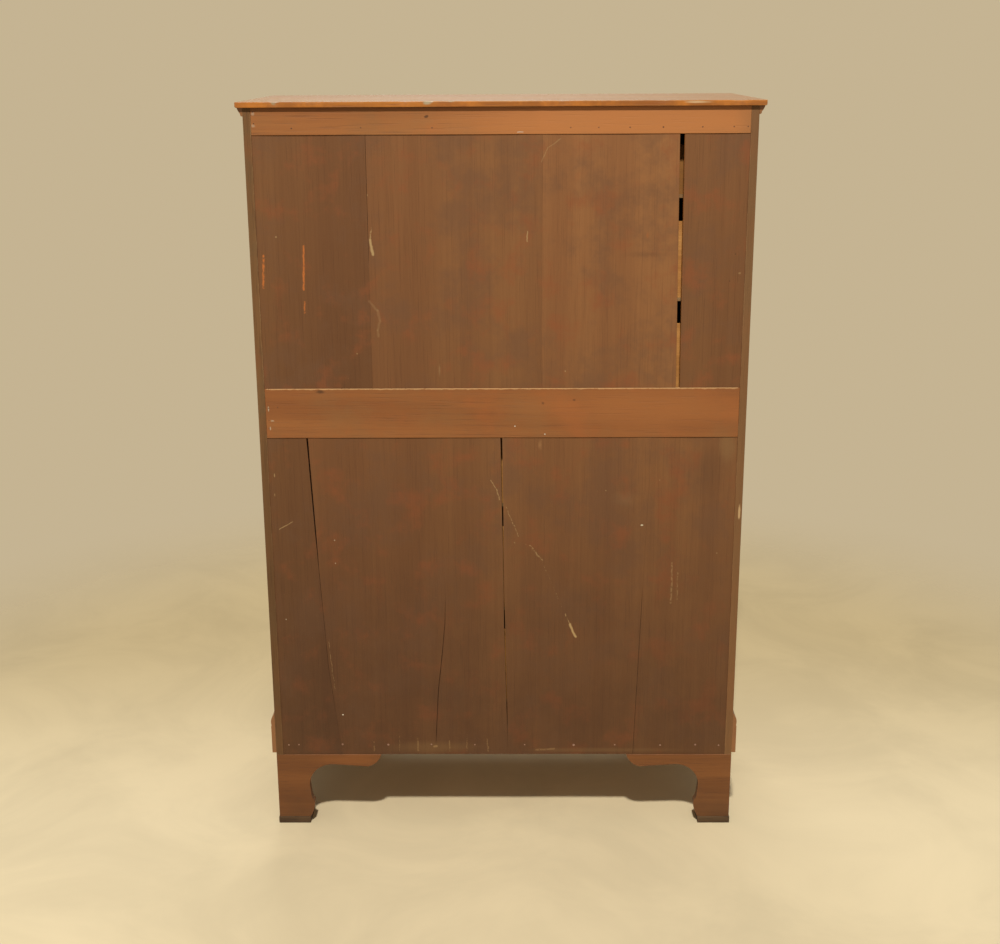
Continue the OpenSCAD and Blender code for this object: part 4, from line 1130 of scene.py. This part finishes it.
@dataclass(frozen=True)
class BackBoard:
    """One upright board of the back: cupped, a little ragged at its edges, and perhaps cracked."""

    node: str
    # Tone at the bottom and at the top of the board: its own random tone, with painted light and
    # shade that make it lighter towards the top.
    tones: Point
    drawn_in: Point = (0.0002, 0.0002)
    left_open: Point = (0.0, 9.0)
    right_open: Point = (0.0, 9.0)
    closing: float = 0.0003
    cup: float = 0.0006
    crack: tuple[Point, ...] = ()
    row_h: float = 0.013
    column_w: float = 0.014
    arris: float = 0.0003
    ragged: float = 0.00015
    crack_depth: float = 0.0035
    crack_w: float = 0.0007
    crack_fades: Point = (0.02, 0.14)
    lap: float = 0.0204
    tongue: float = 0.006
    tongue_below: bool = False
    raw_edges: bool = False
    closing_h: float = 0.03
    edge_waves: float = 31.0
    planed: float = 0.00022
    planed_waves: Point = (26.0, 3.2)
    sharp_from: float = math.radians(32)
    edge_facing: float = 0.9

    def edges_at(self, height: float) -> Point:
        """Finds the two edges of the solid at one height.

        Args:
            height: The height over the floor.

        Returns:
            The lowest and the highest x there.
        """
        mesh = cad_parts[self.node].data
        found = []
        for edge in mesh.edges:
            a, b = (mesh.vertices[i].co for i in edge.vertices)
            if min(a.z, b.z) <= height <= max(a.z, b.z) and abs(a.z - b.z) > SAME_PLACE:
                found.append(a.x + (b.x - a.x) * (height - a.z) / (b.z - a.z))
        return min(found), max(found)

    def crack_at(self, height: float) -> tuple[float, float]:
        """The place and depth of the crack at one height.

        Args:
            height: The height over the floor.

        Returns:
            Its x and its depth, which is 0 at its ends and beyond them.
        """
        top, bottom = self.crack[0], self.crack[-1]
        if height >= top[1]:
            return top[0], 0.0
        if height <= bottom[1]:
            return bottom[0], 0.0
        for (x0, z0), (x1, z1) in zip(self.crack, self.crack[1:]):
            if z1 <= height:
                fade = min(1.0, (height - bottom[1]) / self.crack_fades[0],
                           (top[1] - height) / self.crack_fades[1])
                return x0 + (x1 - x0) * (z0 - height) / (z0 - z1), self.crack_depth * fade
        return bottom[0], 0.0

    def stations(self, left: float, right: float, crack: float) -> list[float]:
        """The columns between the arrises at one level.

        Args:
            left: The board's left edge there.
            right: The board's right edge there.
            crack: The x of the crack there.

        Returns:
            The x of each column, of which three follow the crack.
        """
        low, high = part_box(self.node)
        count = max(6, round((high.x - low.x) / self.column_w))
        if not self.crack:
            return [left + (right - left) * k / count for k in range(1, count)]
        before = max(2, round(count * (self.crack[0][0] - low.x) / (high.x - low.x)))
        after = count - before
        return [*(left + (crack - left) * k / before for k in range(1, before)),
                crack - self.crack_w, crack, crack + self.crack_w,
                *(crack + (right - crack) * k / after for k in range(1, after))]

    def row(self, height: float) -> list[tuple[float, float]]:
        """The outer face along one level.

        Args:
            height: The height over the floor.

        Returns:
            The x of each column, and how far it lies behind the plane of the solid's face.
        """
        left, right = self.edges_at(height)
        seed = hash_of(self.node)
        left += self.edge_shift(height, self.drawn_in[0], self.left_open, seed)
        right -= self.edge_shift(height, self.drawn_in[1], self.right_open, seed + 1.0)
        crack, depth = self.crack_at(height) if self.crack else (0.0, 0.0)
        inner = [left + self.arris, *self.stations(left, right, crack), right - self.arris]
        row = [(x, self.hollow(x, height, left, right, seed) + (depth if x == crack else 0.0))
               for x in inner]
        return [(left, self.arris + row[0][1]), *row, (right, self.arris + row[-1][1])]

    def edge_shift(self, height: float, drawn_in: float, open_range: Point, seed: float) -> float:
        """How far an edge lies inside the edge of its solid.

        Args:
            height: The height over the floor.
            drawn_in: How far it is drawn in where its joint is open.
            open_range: The lowest and highest place where the joint is open.
            seed: The edge's own number.

        Returns:
            The distance, which is negative where the joint has closed.
        """
        low, high = open_range
        away = max(low - height, height - high, 0.0)
        open_share = max(0.0, 1.0 - away / self.closing_h)
        ragged = self.ragged * noise.noise(Vector((seed, 1.0, height * self.edge_waves)))
        return open_share * (drawn_in + ragged) - (1.0 - open_share) * self.closing

    def hollow(self, x: float, height: float, left: float, right: float, seed: float) -> float:
        """How far the face has cupped and been planed away at one place.

        Args:
            x: The place across the chest.
            height: The height over the floor.
            left: The board's left edge there.
            right: The board's right edge there.
            seed: The board's own number.

        Returns:
            The depth under the plane of the solid's face.
        """
        across = (x - left) / (right - left)
        cup = self.cup * (1 - (2 * across - 1) ** 2)
        wide, tall = self.planed_waves
        planed = 1 + noise.noise(Vector((x * wide + seed, seed, height * tall)))
        return cup + self.planed * planed

    def levels(self) -> list[tuple[float, bool]]:
        """The levels of the board's rows.

        Returns:
            Each level, and whether the board is a thin tongue behind a rail there.
        """
        low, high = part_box(self.node)
        start = low.z + (self.lap if self.tongue_below else 0.0)
        end = high.z - self.lap
        count = max(4, round((end - start) / self.row_h))
        rows = [(start + (end - start) * k / count, False) for k in range(count + 1)]
        if self.tongue_below:
            rows = [(low.z, True), (start, True), *rows]
        return [*rows, (end, True), (high.z, True)]

    def build(self) -> Object:
        """Builds the board in the place of its solid.

        Returns:
            The board.
        """
        low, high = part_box(self.node)
        levels = self.levels()
        count = len(levels) - 1
        shape = bmesh.new()
        outer, inner = [], []
        for height, thin in levels:
            row = self.row(min(max(height, low.z + NUDGE), high.z - NUDGE))
            outer.append([
                shape.verts.new((x, low.y + self.tongue if thin else high.y - depth, height))
                for x, depth in row])
            inner.append([shape.verts.new((row[0][0], low.y, height)),
                          shape.verts.new((row[-1][0], low.y, height))])
        for lower, upper in zip(outer, outer[1:]):
            for k in range(len(lower) - 1):
                shape.faces.new((lower[k], upper[k], upper[k + 1], lower[k + 1]))
        for k in range(count):
            shape.faces.new((inner[k][0], inner[k][1], inner[k + 1][1], inner[k + 1][0]))
            shape.faces.new((inner[k][0], inner[k + 1][0], outer[k + 1][0], outer[k][0]))
            shape.faces.new((inner[k][1], outer[k][-1], outer[k + 1][-1], inner[k + 1][1]))
        shape.faces.new((inner[0][0], *outer[0], inner[0][1]))
        shape.faces.new((inner[-1][1], *reversed(outer[-1]), inner[-1][0]))
        bmesh.ops.remove_doubles(shape, verts=shape.verts, dist=SAME_PLACE)
        bmesh.ops.recalc_face_normals(shape, faces=shape.faces)
        piece = finished(self.node + "_planed", shape, self.sharp_from)
        dress(piece, [BACK_BOARD.material(Along.HEIGHT), DRAWER_BACK.material(Along.HEIGHT)])
        for face in piece.data.polygons:
            face.material_index = int(self.raw_edges and abs(face.normal.x) > self.edge_facing)
        rise = high.z - low.z
        # Painted light and shade: the tone runs from the bottom to the top of the board, lighter
        # where more light falls.
        below, above = self.tones
        set_tone(piece, [below + (above - below) * (vert.co.z - low.z) / rise
                         for vert in piece.data.vertices])
        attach(piece, "carcase")
        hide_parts(self.node)
        report(piece)
        return piece


def hash_of(name: str) -> float:
    """A steady number from 0 to 97 for a name, the same on every run."""
    return float(sum(ord(letter) * (k + 1) for k, letter in enumerate(name)) % 97)


@dataclass(frozen=True)
class Back:
    """The boarded back with its two rails and its nails."""

    boards: tuple[BackBoard, ...] = (
        BackBoard("upper_back_board_1", (-0.14, 0.03), (0.0, 0.0011), tongue_below=True,
                  raw_edges=True),
        BackBoard("upper_back_board_2", (0.14, 0.42), (0.0011, -0.0003), tongue_below=True,
                  raw_edges=True),
        BackBoard("upper_back_board_3", (-0.03, 0.17), (-0.0003, -0.0001),
                  right_open=(1.25, 9.0), tongue_below=True),
        BackBoard("upper_back_board_4", (-0.26, -0.06), (0.0, 0.0), left_open=(1.25, 9.0),
                  tongue_below=True),
        BackBoard("lower_back_board_1", (-0.2, 0.08), (0.0, 0.0), right_open=(0.0, 0.52),
                  cup=0.0009),
        BackBoard("lower_back_board_2", (-0.19, 0.08), (0.0, 0.0), left_open=(0.0, 0.52),
                  right_open=(0.26, 9.0)),
        BackBoard("lower_back_board_3", (-0.2, 0.0), (0.0, -0.0001), left_open=(0.26, 9.0),
                  right_open=(0.28, 9.0),
                  crack=((0.1194, 0.546), (0.1217, 0.468), (0.1289, 0.394), (0.1382, 0.313),
                         (0.1452, 0.193))),
        BackBoard("lower_back_board_4", (-0.33, -0.22), (-0.0001, 0.0), left_open=(0.28, 9.0)),
    )
    rail_nails: tuple[Point, ...] = (
        (0.4702, 1.5102), (0.4694, 1.4885), (0.3981, 1.4794), (0.2659, 1.4803),
        (0.1301, 1.4795), (-0.1332, 1.4788), (-0.1865, 1.4787), (-0.2458, 1.4787),
        (-0.3088, 1.4788), (-0.3835, 1.4789), (-0.4429, 1.4791), (-0.4694, 1.4792),
        (0.4687, 0.9327), (0.4503, 0.9347), (0.4692, 0.9078), (0.4697, 0.8911))
    foot_nails: tuple[Point, ...] = (
        (0.4627, 0.1864), (0.4409, 0.1867), (0.3466, 0.1877), (0.2483, 0.1864),
        (0.1552, 0.1872), (0.0619, 0.1865), (-0.0453, 0.1867), (-0.1507, 0.1853),
        (-0.239, 0.1861), (-0.3364, 0.185), (-0.4118, 0.1858), (-0.462, 0.1849))
    rail_easing: Easing = Easing(0.0012, 3)
    nail_sides: int = 10
    foot_nails_sunk: float = 0.0007

    def build(self) -> None:
        """Builds the boards, the rails and the nails."""
        for board in self.boards:
            board.build()
        for node in ("top_back_rail", "middle_back_rail"):
            rail = eased_copy(node, "carcase", self.rail_easing)
            dress(rail, [BACK_RAIL.material(Along.WIDTH)])
        rails = SCATTER.build("rail_nails", turned(NAIL_HEAD, self.nail_sides),
                              [(x, Y_BACK, z) for x, z in self.rail_nails], IRON.material(),
                              sizes=(0.45, 0.65), seed=4)
        sunk = Y_BOARDS - self.foot_nails_sunk
        feet = SCATTER.build("foot_nails", turned(NAIL_HEAD, self.nail_sides),
                             [(x, sunk, z) for x, z in self.foot_nails], PALE_NAIL.material(),
                             sizes=(0.7, 1.15), seed=9)
        for nails in (rails, feet):
            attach(nails, "carcase")


# The carcase


@dataclass(frozen=True)
class Carcase:
    """Sides, top, mouldings, rails and the pine inside."""

    side_easing: Easing = Easing(0.0007, 3)
    side_edge_w: float = 0.003
    side_facing: float = 0.3
    top_easing: Easing = Easing(0.0011, 3)
    top_edge_w: float = 0.0035
    top_facing: float = 0.2
    up_facing: float = 0.5
    on_face: float = 1e-4
    clear_end: float = 0.004
    worn_down: float = 0.7
    top_slice: float = 0.008
    top_slices: int = 62
    ragged: float = 0.0003
    ragged_waves: float = 45.0
    knocks: tuple[tuple[float, float, float], ...] = (
        (0.4272, 0.0016, 0.006), (-0.452, 0.0013, 0.012), (0.18, 0.0007, 0.01),
        (-0.12, 0.0006, 0.016), (-0.31, 0.0008, 0.007))
    moulding_easing: Easing = Easing(0.0005)
    inner_easing: Easing = Easing(0.0006)
    strip_w: float = 0.5

    def build(self) -> None:
        """Builds every piece of the carcase but its back and its feet."""
        self.build_sides()
        self.build_top()
        self.build_mouldings()
        self.build_inside()

    def build_sides(self) -> None:
        """Builds the two sides, polished outside and dull along the back edge."""
        for node in ("left_side", "right_side"):
            side = eased_copy(node, "carcase", self.side_easing)
            dress(side, [POLISHED.material(Along.HEIGHT), SIDE_EDGE.material(Along.HEIGHT)])
            for face in side.data.polygons:
                if face.center.y > Y_BACK - self.side_edge_w and face.normal.y > self.side_facing:
                    face.material_index = 1

    def build_top(self) -> None:
        """Builds the top, with a knocked and rubbed back edge."""
        shape = merged("top_board")
        for k in range(-self.top_slices, self.top_slices + 1):
            slice_through(shape, (k * self.top_slice, 0.0, 0.0), (1.0, 0.0, 0.0))
        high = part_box("top_board")[1]
        for vert in shape.verts:
            if vert.co.y > high.y - self.on_face and abs(vert.co.x) < high.x - self.clear_end:
                wave = noise.noise(Vector((vert.co.x * self.ragged_waves, 3.0, 0.0)))
                worn = self.ragged * (1 + wave)
                if vert.co.z > high.z - self.on_face:
                    worn += sum(depth * math.exp(-((vert.co.x - x) / width) ** 2)
                                for x, depth, width in self.knocks)
                    vert.co.z -= worn * self.worn_down
                vert.co.y -= worn
        self.top_easing.apply(shape)
        top = finished("top_board_worn", shape)
        dress(top, [finish.material(Along.WIDTH) for finish in (POLISHED, TOP_EDGE, FADED_WITH_PAINTED_REFLECTION)])
        for face in top.data.polygons:
            if face.center.y > high.y - self.top_edge_w and face.normal.y > self.top_facing:
                face.material_index = 1
            elif face.normal.z > self.up_facing:
                face.material_index = 2
        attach(top, "carcase")
        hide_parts("top_board")
        report(top)

    def build_mouldings(self) -> None:
        """Builds the cornice and the base band, the grain along each strip."""
        for node in ("cornice_moulding", "base_moulding"):
            strips = eased_copy(node, "carcase", self.moulding_easing)
            dress(strips, [POLISHED.material(Along.WIDTH), POLISHED.material(Along.DEPTH)],
                  lambda low, high: int(high.x - low.x < self.strip_w))

    def build_inside(self) -> None:
        """Builds the rails, the post, the bottom, the board under the top and the runners."""
        for wood, slot, pieces in (
                (POLISHED, "polished_mahogany", {"front_rails": Along.WIDTH,
                                                 "centre_post": Along.HEIGHT}),
                (PINE, "pine", {"sub_top": Along.WIDTH, "bottom_board": Along.WIDTH,
                                "drawer_runners": Along.DEPTH, "drawer_stops": Along.WIDTH})):
            for node, along in pieces.items():
                piece = eased_copy(node, "carcase", self.inner_easing)
                dress(piece, [wood.material(along)])


@dataclass(frozen=True)
class Feet:
    """Four bracket feet with their pads."""

    nodes: tuple[str, ...] = ("front_left_foot", "front_right_foot", "back_left_foot",
                              "back_right_foot")
    foot_easing: Easing = Easing(0.0009, 3)
    pad_easing: Easing = Easing(0.0012, 3)
    block_w: float = 0.06

    def build(self) -> None:
        """Builds the feet and the pads."""
        for node in self.nodes:
            foot = eased_copy(node, "carcase", self.foot_easing)
            dress(foot, [FOOT_WOOD.material(Along.WIDTH), FOOT_WOOD.material(Along.DEPTH),
                         PINE.material(Along.HEIGHT)], self.part)
        pads = eased_copy("foot_pads", "carcase", self.pad_easing)
        dress(pads, [PAD_WOOD.material(Along.WIDTH)])

    def part(self, low: Vector, high: Vector) -> int:
        """Tells the brackets and the block of a foot apart.

        Args:
            low: The solid's lowest corner.
            high: The solid's highest corner.

        Returns:
            0 for a front or back bracket, 1 for a side bracket, 2 for the block.
        """
        wide, deep = high.x - low.x, high.y - low.y
        if max(wide, deep) < self.block_w:
            return 2
        return 0 if wide > deep else 1


# The drawers


@dataclass(frozen=True)
class Bail:
    """A swan-neck handle, swept along its own line by geometry nodes."""

    node: str
    post_gap: float = 0.088
    ball: float = 0.0064
    shoulder_gap: float = 0.0006
    neck_r: float = 0.0026
    grip_r: float = 0.0038
    pin_r: float = 0.002
    pin_short: float = 0.0005
    pin_steps: int = 6
    swell_over: float = 0.03
    under: float = 0.0003
    ring_h: float = 0.0005
    ring_w: float = 0.0007
    rings: tuple[float, ...] = (0.0065, 0.0095)
    bends: tuple[Point, ...] = ((-150.0, 0.009), (35.0, 0.016), (-57.0, 0.02))
    bend_step: float = 8.0
    step: float = 0.0016

    def half(self) -> list[Point]:
        """The line of one half, from the shoulder at its post to the middle of the grip.

        Returns:
            Places from the middle between the posts, as x and z.
        """
        x, z, way = self.shoulder(), 0.0, 0.0
        line = [(x, z)]
        for turn, radius in (*self.bends, (0.0, 0.0)):
            if not radius:
                turn = -(way + 180)
                radius = x / math.sin(math.radians(way + 180))
            side = math.copysign(1.0, turn)
            centre = (x - side * radius * math.sin(math.radians(way)),
                      z + side * radius * math.cos(math.radians(way)))
            count = max(3, math.ceil(abs(turn) / self.bend_step))
            for k in range(1, count + 1):
                angle = math.radians(way + turn * k / count)
                line.append((centre[0] + side * radius * math.sin(angle),
                             centre[1] - side * radius * math.cos(angle)))
            x, z = line[-1]
            way += turn
        return line

    def shoulder(self) -> float:
        """How far the shoulder lies from the middle."""
        return self.post_gap / 2 + self.ball + self.shoulder_gap

    def thickness(self, x: float) -> float:
        """Radius of the bail, with a turned bead and two rings in the middle of the grip.

        Args:
            x: Place from the middle.

        Returns:
            The radius there.
        """
        swell = max(0.0, math.cos(math.pi * x / (self.post_gap + self.swell_over))) ** 1.5
        plain = self.neck_r + (self.grip_r - self.neck_r) * swell
        rings = sum(self.ring_h * math.exp(-((abs(x) - place) / self.ring_w) ** 2)
                    for place in self.rings)
        return min(plain - self.under + rings, self.grip_r)

    def centre(self) -> Vector:
        """Where the middle of the pin line lies, from the box of the solid."""
        low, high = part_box(self.node)
        return Vector(((low.x + high.x) / 2, (low.y + high.y) / 2, high.z - self.neck_r))

    def build(self, sweep: "Sweep") -> Object:
        """Builds the bail in the place of its solid.

        Args:
            sweep: The tree that sweeps it.

        Returns:
            The bail.
        """
        right = self.half()
        line = densified([*right, *[(-x, z) for x, z in reversed(right[:-1])]], self.step)
        middle = self.centre()
        places = [middle + Vector((x, 0.0, z)) for x, z in line]
        radii = [self.thickness(x) for x, _ in line]
        inward = 2 * self.ball - self.pin_short
        count = self.pin_steps
        first, last = (
            [middle + Vector((side * self.shoulder(), 0.0, 0.0))
             - Vector((side * inward * k / count, 0.0, 0.0)) for k in range(1, count + 1)]
            for side in (1.0, -1.0))
        pin = [self.pin_r] * count
        piece = sweep.build(self.node + "_swept", [*reversed(first), *places, *last],
                            [*pin, *radii, *pin], BRASS.material())
        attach(piece, self.node)
        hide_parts(self.node)
        return piece


def densified(line: Sequence[Point], step: float) -> list[Point]:
    """Adds places along a line, so that none lies further than a step from the next.

    Args:
        line: Places as x and z.
        step: The longest stretch to leave.

    Returns:
        The longer list.
    """
    made = [line[0]]
    for (x0, z0), (x1, z1) in zip(line, line[1:]):
        count = max(1, math.ceil(math.hypot(x1 - x0, z1 - z0) / step))
        made += [(x0 + (x1 - x0) * k / count, z0 + (z1 - z0) * k / count)
                 for k in range(1, count + 1)]
    return made


class Sweep:
    """Sweeps a round section along a line whose points say how thick it is."""

    sides = 20
    weld = 1e-7

    def __init__(self) -> None:
        """Builds the tree once, with its sizes as named inputs."""
        wires = new_tree("sweep", "GeometryNodeTree",
                         {"Geometry": SHAPE, "Sides": "NodeSocketInt",
                          "Material": "NodeSocketMaterial"},
                         {"Geometry": SHAPE})
        given = wires.given()
        line = wires.add("GeometryNodeMeshToCurve", {0: given["Geometry"]})
        ring = wires.add("GeometryNodeCurvePrimitiveCircle",
                         {"Resolution": given["Sides"], "Radius": 1.0}, mode="RADIUS")
        thick = wires.add("GeometryNodeInputNamedAttribute", {"Name": "thick"}, data_type="FLOAT")
        tube = wires.add("GeometryNodeCurveToMesh",
                         {"Curve": line.outputs[0], "Profile Curve": ring.outputs[0],
                          "Scale": thick.outputs[0], "Fill Caps": True})
        smooth = wires.add("GeometryNodeSetShadeSmooth", {0: tube.outputs[0]})
        coated = wires.add("GeometryNodeSetMaterial",
                           {"Geometry": smooth.outputs[0], "Material": given["Material"]})
        self.tree = wires.give({"Geometry": coated.outputs[0]})

    def build(self, name: str, places: Sequence[Vector], radii: Sequence[float],
              material: Material) -> Object:
        """Sweeps one piece.

        Args:
            name: Name of the piece.
            places: The line that it follows.
            radii: Its radius at each place.
            material: Its material.

        Returns:
            The piece as a plain mesh.
        """
        mesh = bpy.data.meshes.new(name)
        mesh.from_pydata([tuple(p) for p in places], [(k, k + 1) for k in range(len(places) - 1)],
                         [])
        mesh.attributes.new("thick", "FLOAT", "POINT").data.foreach_set("value", list(radii))
        piece = run_tree(new_object(name, mesh), self.tree,
                         {"Sides": self.sides, "Material": material})
        shape = bmesh.new()
        shape.from_mesh(piece.data)
        bmesh.ops.remove_doubles(shape, verts=shape.verts, dist=self.weld)
        bmesh.ops.recalc_face_normals(shape, faces=shape.faces)
        shape.to_mesh(piece.data)
        shape.free()
        report(piece)
        return piece


@dataclass(frozen=True)
class Drawer:
    """One drawer with its front, box, brasses and handles."""

    name: str
    tone: float
    back: WoodFinish = DRAWER_BACK
    handles: tuple[str, ...] = ("_left_bail", "_right_bail")
    front_easing: Easing = Easing(0.0003)
    box_easing: Easing = Easing(0.0005)
    brass_easing: Easing = Easing(0.00025)
    bead_w: float = 0.01
    lining_w: float = 0.02
    lock_w: float = 0.03
    lock_out: float = 0.007
    lock_slack: float = 0.001
    screw_off: float = 0.023
    screw_drops: Point = (0.007, 0.029)

    def body(self) -> str:
        """The body that the drawer's pieces ride on."""
        return self.name + "_drawer"

    def build(self, sweep: Sweep) -> None:
        """Builds every piece of the drawer.

        Args:
            sweep: The tree that sweeps the handles.
        """
        self.build_front()
        self.build_box()
        self.build_brasses()
        for handle in self.handles:
            Bail(self.name + handle).build(sweep)

    def build_front(self) -> None:
        """Builds the figured front and its beads."""
        front = eased_copy(self.name + "_front", self.body(), self.front_easing)
        dress(front, [FIGURED.material(Along.WIDTH), BEAD.material(Along.WIDTH),
                      BEAD.material(Along.HEIGHT)], self.front_part)
        set_tone(front, [self.tone])

    def front_part(self, low: Vector, high: Vector) -> int:
        """Tells the board and the beads apart.

        Args:
            low: The solid's lowest corner.
            high: The solid's highest corner.

        Returns:
            0 for the board, 1 for a level bead, 2 for an upright one.
        """
        wide, tall = high.x - low.x, high.z - low.z
        if min(wide, tall) > self.bead_w:
            return 0
        return 1 if wide > tall else 2

    def build_box(self) -> None:
        """Builds the linings, the back and the bottom."""
        box = eased_copy(self.name + "_box", self.body(), self.box_easing)
        dress(box, [OAK.material(Along.DEPTH), OAK.material(Along.WIDTH),
                    self.back.material(Along.WIDTH)], self.box_part)

    def box_part(self, low: Vector, high: Vector) -> int:
        """Tells the pieces of the box apart.

        Args:
            low: The solid's lowest corner.
            high: The solid's highest corner.

        Returns:
            0 for a side or a slip, 1 for the bottom, 2 for the back.
        """
        if high.x - low.x < self.lining_w:
            return 0
        return 2 if high.y - low.y < self.lining_w else 1

    def build_brasses(self) -> None:
        """Builds the posts, roses, nuts, keyhole plate and lock, and the lock's screws."""
        brasses = eased_copy(self.name + "_brasses", self.body(), self.brass_easing)
        behind = Y_FACE + FRONT_THICK
        dress(brasses, [BRASS.material(), STEEL.material()],
              lambda low, high: int(low.y > behind - self.lock_slack
                                    and high.x - low.x > self.lock_w))
        low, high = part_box(self.name + "_front")
        middle, top = (low.x + high.x) / 2, high.z
        places = [(middle + side * self.screw_off, behind + self.lock_out, top - drop)
                  for side in (-1, 1) for drop in self.screw_drops]
        head = slotted(turned(SCREW_HEAD, sides=16))
        screws = SCATTER.build(self.name + "_lock_screws", head, places, STEEL.material(),
                               sizes=(0.95, 1.05), seed=len(self.name) + int(top * 100))
        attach(screws, self.body())


def slotted(head: Shape) -> Shape:
    """Sinks a slot across the face of a screw head.

    Args:
        head: The head, facing along Y.

    Returns:
        The same mesh with the slot.
    """
    half, within, deep = 0.0004, 0.0003, 0.0005
    rim, floor, face_from = 0.0002, 0.0001, 0.0004
    for edge in (-half, half):
        slice_through(head, (0.0, 0.0, edge), (0.0, 0.0, 1.0))
    for vert in head.verts:
        if vert.co.y > rim and abs(vert.co.z) < within:
            vert.co.y = floor
    slot = [face for face in head.faces if face.calc_center_median().y > face_from
            and abs(face.calc_center_median().z) < half]
    pushed = bmesh.ops.extrude_face_region(head, geom=slot)
    for vert in pushed["geom"]:
        if isinstance(vert, bmesh.types.BMVert):
            vert.co.y -= deep
    bmesh.ops.delete(head, geom=slot, context="FACES")
    return head


DRAWERS = (
    Drawer("short_left", 0.04, SHADED_DRAWER_BACK, ("_bail",)),
    Drawer("short_right", -0.03, SHADED_DRAWER_BACK, ("_bail",)),
    *(Drawer(f"long_{row}", tone) for row, tone in enumerate((0.02, -0.02, 0.05, -0.04, 0.0), 1)),
)


# The room


@dataclass(frozen=True)
class Lamp:
    """One square lamp that looks at a place."""

    name: str
    place: tuple[float, float, float]
    target: tuple[float, float, float]
    size: float
    power: float
    colour: Colour

    def build(self) -> None:
        """Hangs the lamp."""
        data = bpy.data.lights.new(self.name, "AREA")
        data.shape = "SQUARE"
        data.size = self.size
        data.energy = self.power
        data.color = self.colour
        lamp = bpy.data.objects.new(self.name, data)
        bpy.context.scene.collection.objects.link(lamp)
        lamp.location = self.place
        look = Vector(self.target) - Vector(self.place)
        lamp.rotation_mode = "QUATERNION"
        lamp.rotation_quaternion = look.to_track_quat("-Z", "Y")


@dataclass(frozen=True)
class Room:
    """The plain pale floor, the background, the lamps and the camera."""

    near_floor: Colour = (0.82, 0.69, 0.44)
    far_floor: Colour = (0.58, 0.46, 0.25)
    wall_colour: Colour = (0.56, 0.455, 0.29)
    sky: float = 0.25
    floor_reach: float = 2.6
    floor_sides: int = 96
    floor_roughness: float = 0.75
    fade: Point = (1.25, 2.3)
    camera_place: tuple[float, float, float] = (-0.0229, 3.0298, 1.6144)
    camera_turn: tuple[float, float, float] = (73.754, 0.288, -179.522)
    lens: float = 51.71
    sensor: float = 36.0
    lamps: tuple[Lamp, ...] = (
        Lamp("ceiling lamp", (0.22, 5.5, 8.0), (0.0, 0.2, 0.75), 0.45, 715.0, (1.0, 0.97, 0.92)),
        Lamp("front lamp", (0.3, -3.4, 4.4), (0.0, -0.2, 0.7), 1.8, 62.0, (1.0, 0.98, 0.95)))

    def build(self) -> None:
        """Builds the room."""
        bpy.context.scene.view_settings.view_transform = "Standard"
        self.build_world()
        self.build_floor()
        for lamp in self.lamps:
            lamp.build()
        self.build_camera()

    def build_world(self) -> None:
        """Builds an even light, behind a plain wall colour that is seen and mirrored."""
        world = bpy.data.worlds.new("room")
        bpy.context.scene.world = world
        world.use_nodes = True
        world.node_tree.nodes.clear()
        wires = Wiring(world.node_tree)
        seen = wires.add("ShaderNodeLightPath").outputs
        mirrored = wires.sum("MAXIMUM", seen["Is Glossy Ray"], seen["Is Transmission Ray"])
        shown = wires.sum("MAXIMUM", seen["Is Camera Ray"], mirrored)
        even = wires.add("ShaderNodeBackground", {"Color": (1.0, 0.95, 0.86), "Strength": self.sky})
        wall = wires.add("ShaderNodeBackground", {"Color": self.wall_colour, "Strength": 1.0})
        both = wires.add("ShaderNodeMixShader", {0: shown, 1: even.outputs[0], 2: wall.outputs[0]})
        wires.add("ShaderNodeOutputWorld", {0: both.outputs[0]})

    def build_floor(self) -> None:
        """Builds a round floor that fades out into the background."""
        shape = bmesh.new()
        bmesh.ops.create_circle(shape, cap_ends=True, segments=self.floor_sides,
                                radius=self.floor_reach)
        mesh = bpy.data.meshes.new("floor")
        shape.to_mesh(mesh)
        shape.free()
        floor = new_object("floor", mesh)
        material, wires, shader, place = new_material("pale floor")
        ahead = wires.add("ShaderNodeSeparateXYZ", {0: place}).outputs[1]
        near = wires.spread(ahead, low=-0.9, high=0.35)
        pale = wires.blend(near, self.far_floor, self.near_floor)
        cloud = wires.noise(place, scale=2.2, detail=5.0, roughness=0.6, distortion=0.8)
        cloud = wires.spread(cloud, low=0.3, high=0.7, to_low=0.9, to_high=1.03)
        pale = wires.blend(1.0, pale, wires.grey(cloud), "MULTIPLY")
        wires.put(shader.inputs["Base Color"], pale)
        shader.inputs["Roughness"].default_value = self.floor_roughness
        away = wires.vector("LENGTH", place)[1]
        wires.put(shader.inputs["Alpha"], wires.spread(away, low=self.fade[1], high=self.fade[0]))
        floor.data.materials.append(material)

    def build_camera(self) -> None:
        """Sets the camera where the photograph was taken."""
        data = bpy.data.cameras.new("camera")
        data.lens = self.lens
        data.sensor_width = self.sensor
        data.sensor_fit = "HORIZONTAL"
        camera = bpy.data.objects.new("camera", data)
        bpy.context.scene.collection.objects.link(camera)
        camera.location = self.camera_place
        camera.rotation_euler = tuple(math.radians(angle) for angle in self.camera_turn)
        bpy.context.scene.camera = camera


def main() -> None:
    """Builds the room and the chest, sub-assembly by sub-assembly."""
    logging.basicConfig(level=logging.INFO, format="%(name)s: %(message)s")
    Room().build()
    for assembly in (Carcase(), Back(), Feet()):
        assembly.build()
        LOG.info("%s is built", type(assembly).__name__)
    sweep = Sweep()
    for drawer in DRAWERS:
        drawer.build(sweep)
        LOG.info("%s is built", drawer.body())


if __name__ == "__main__":
    main()
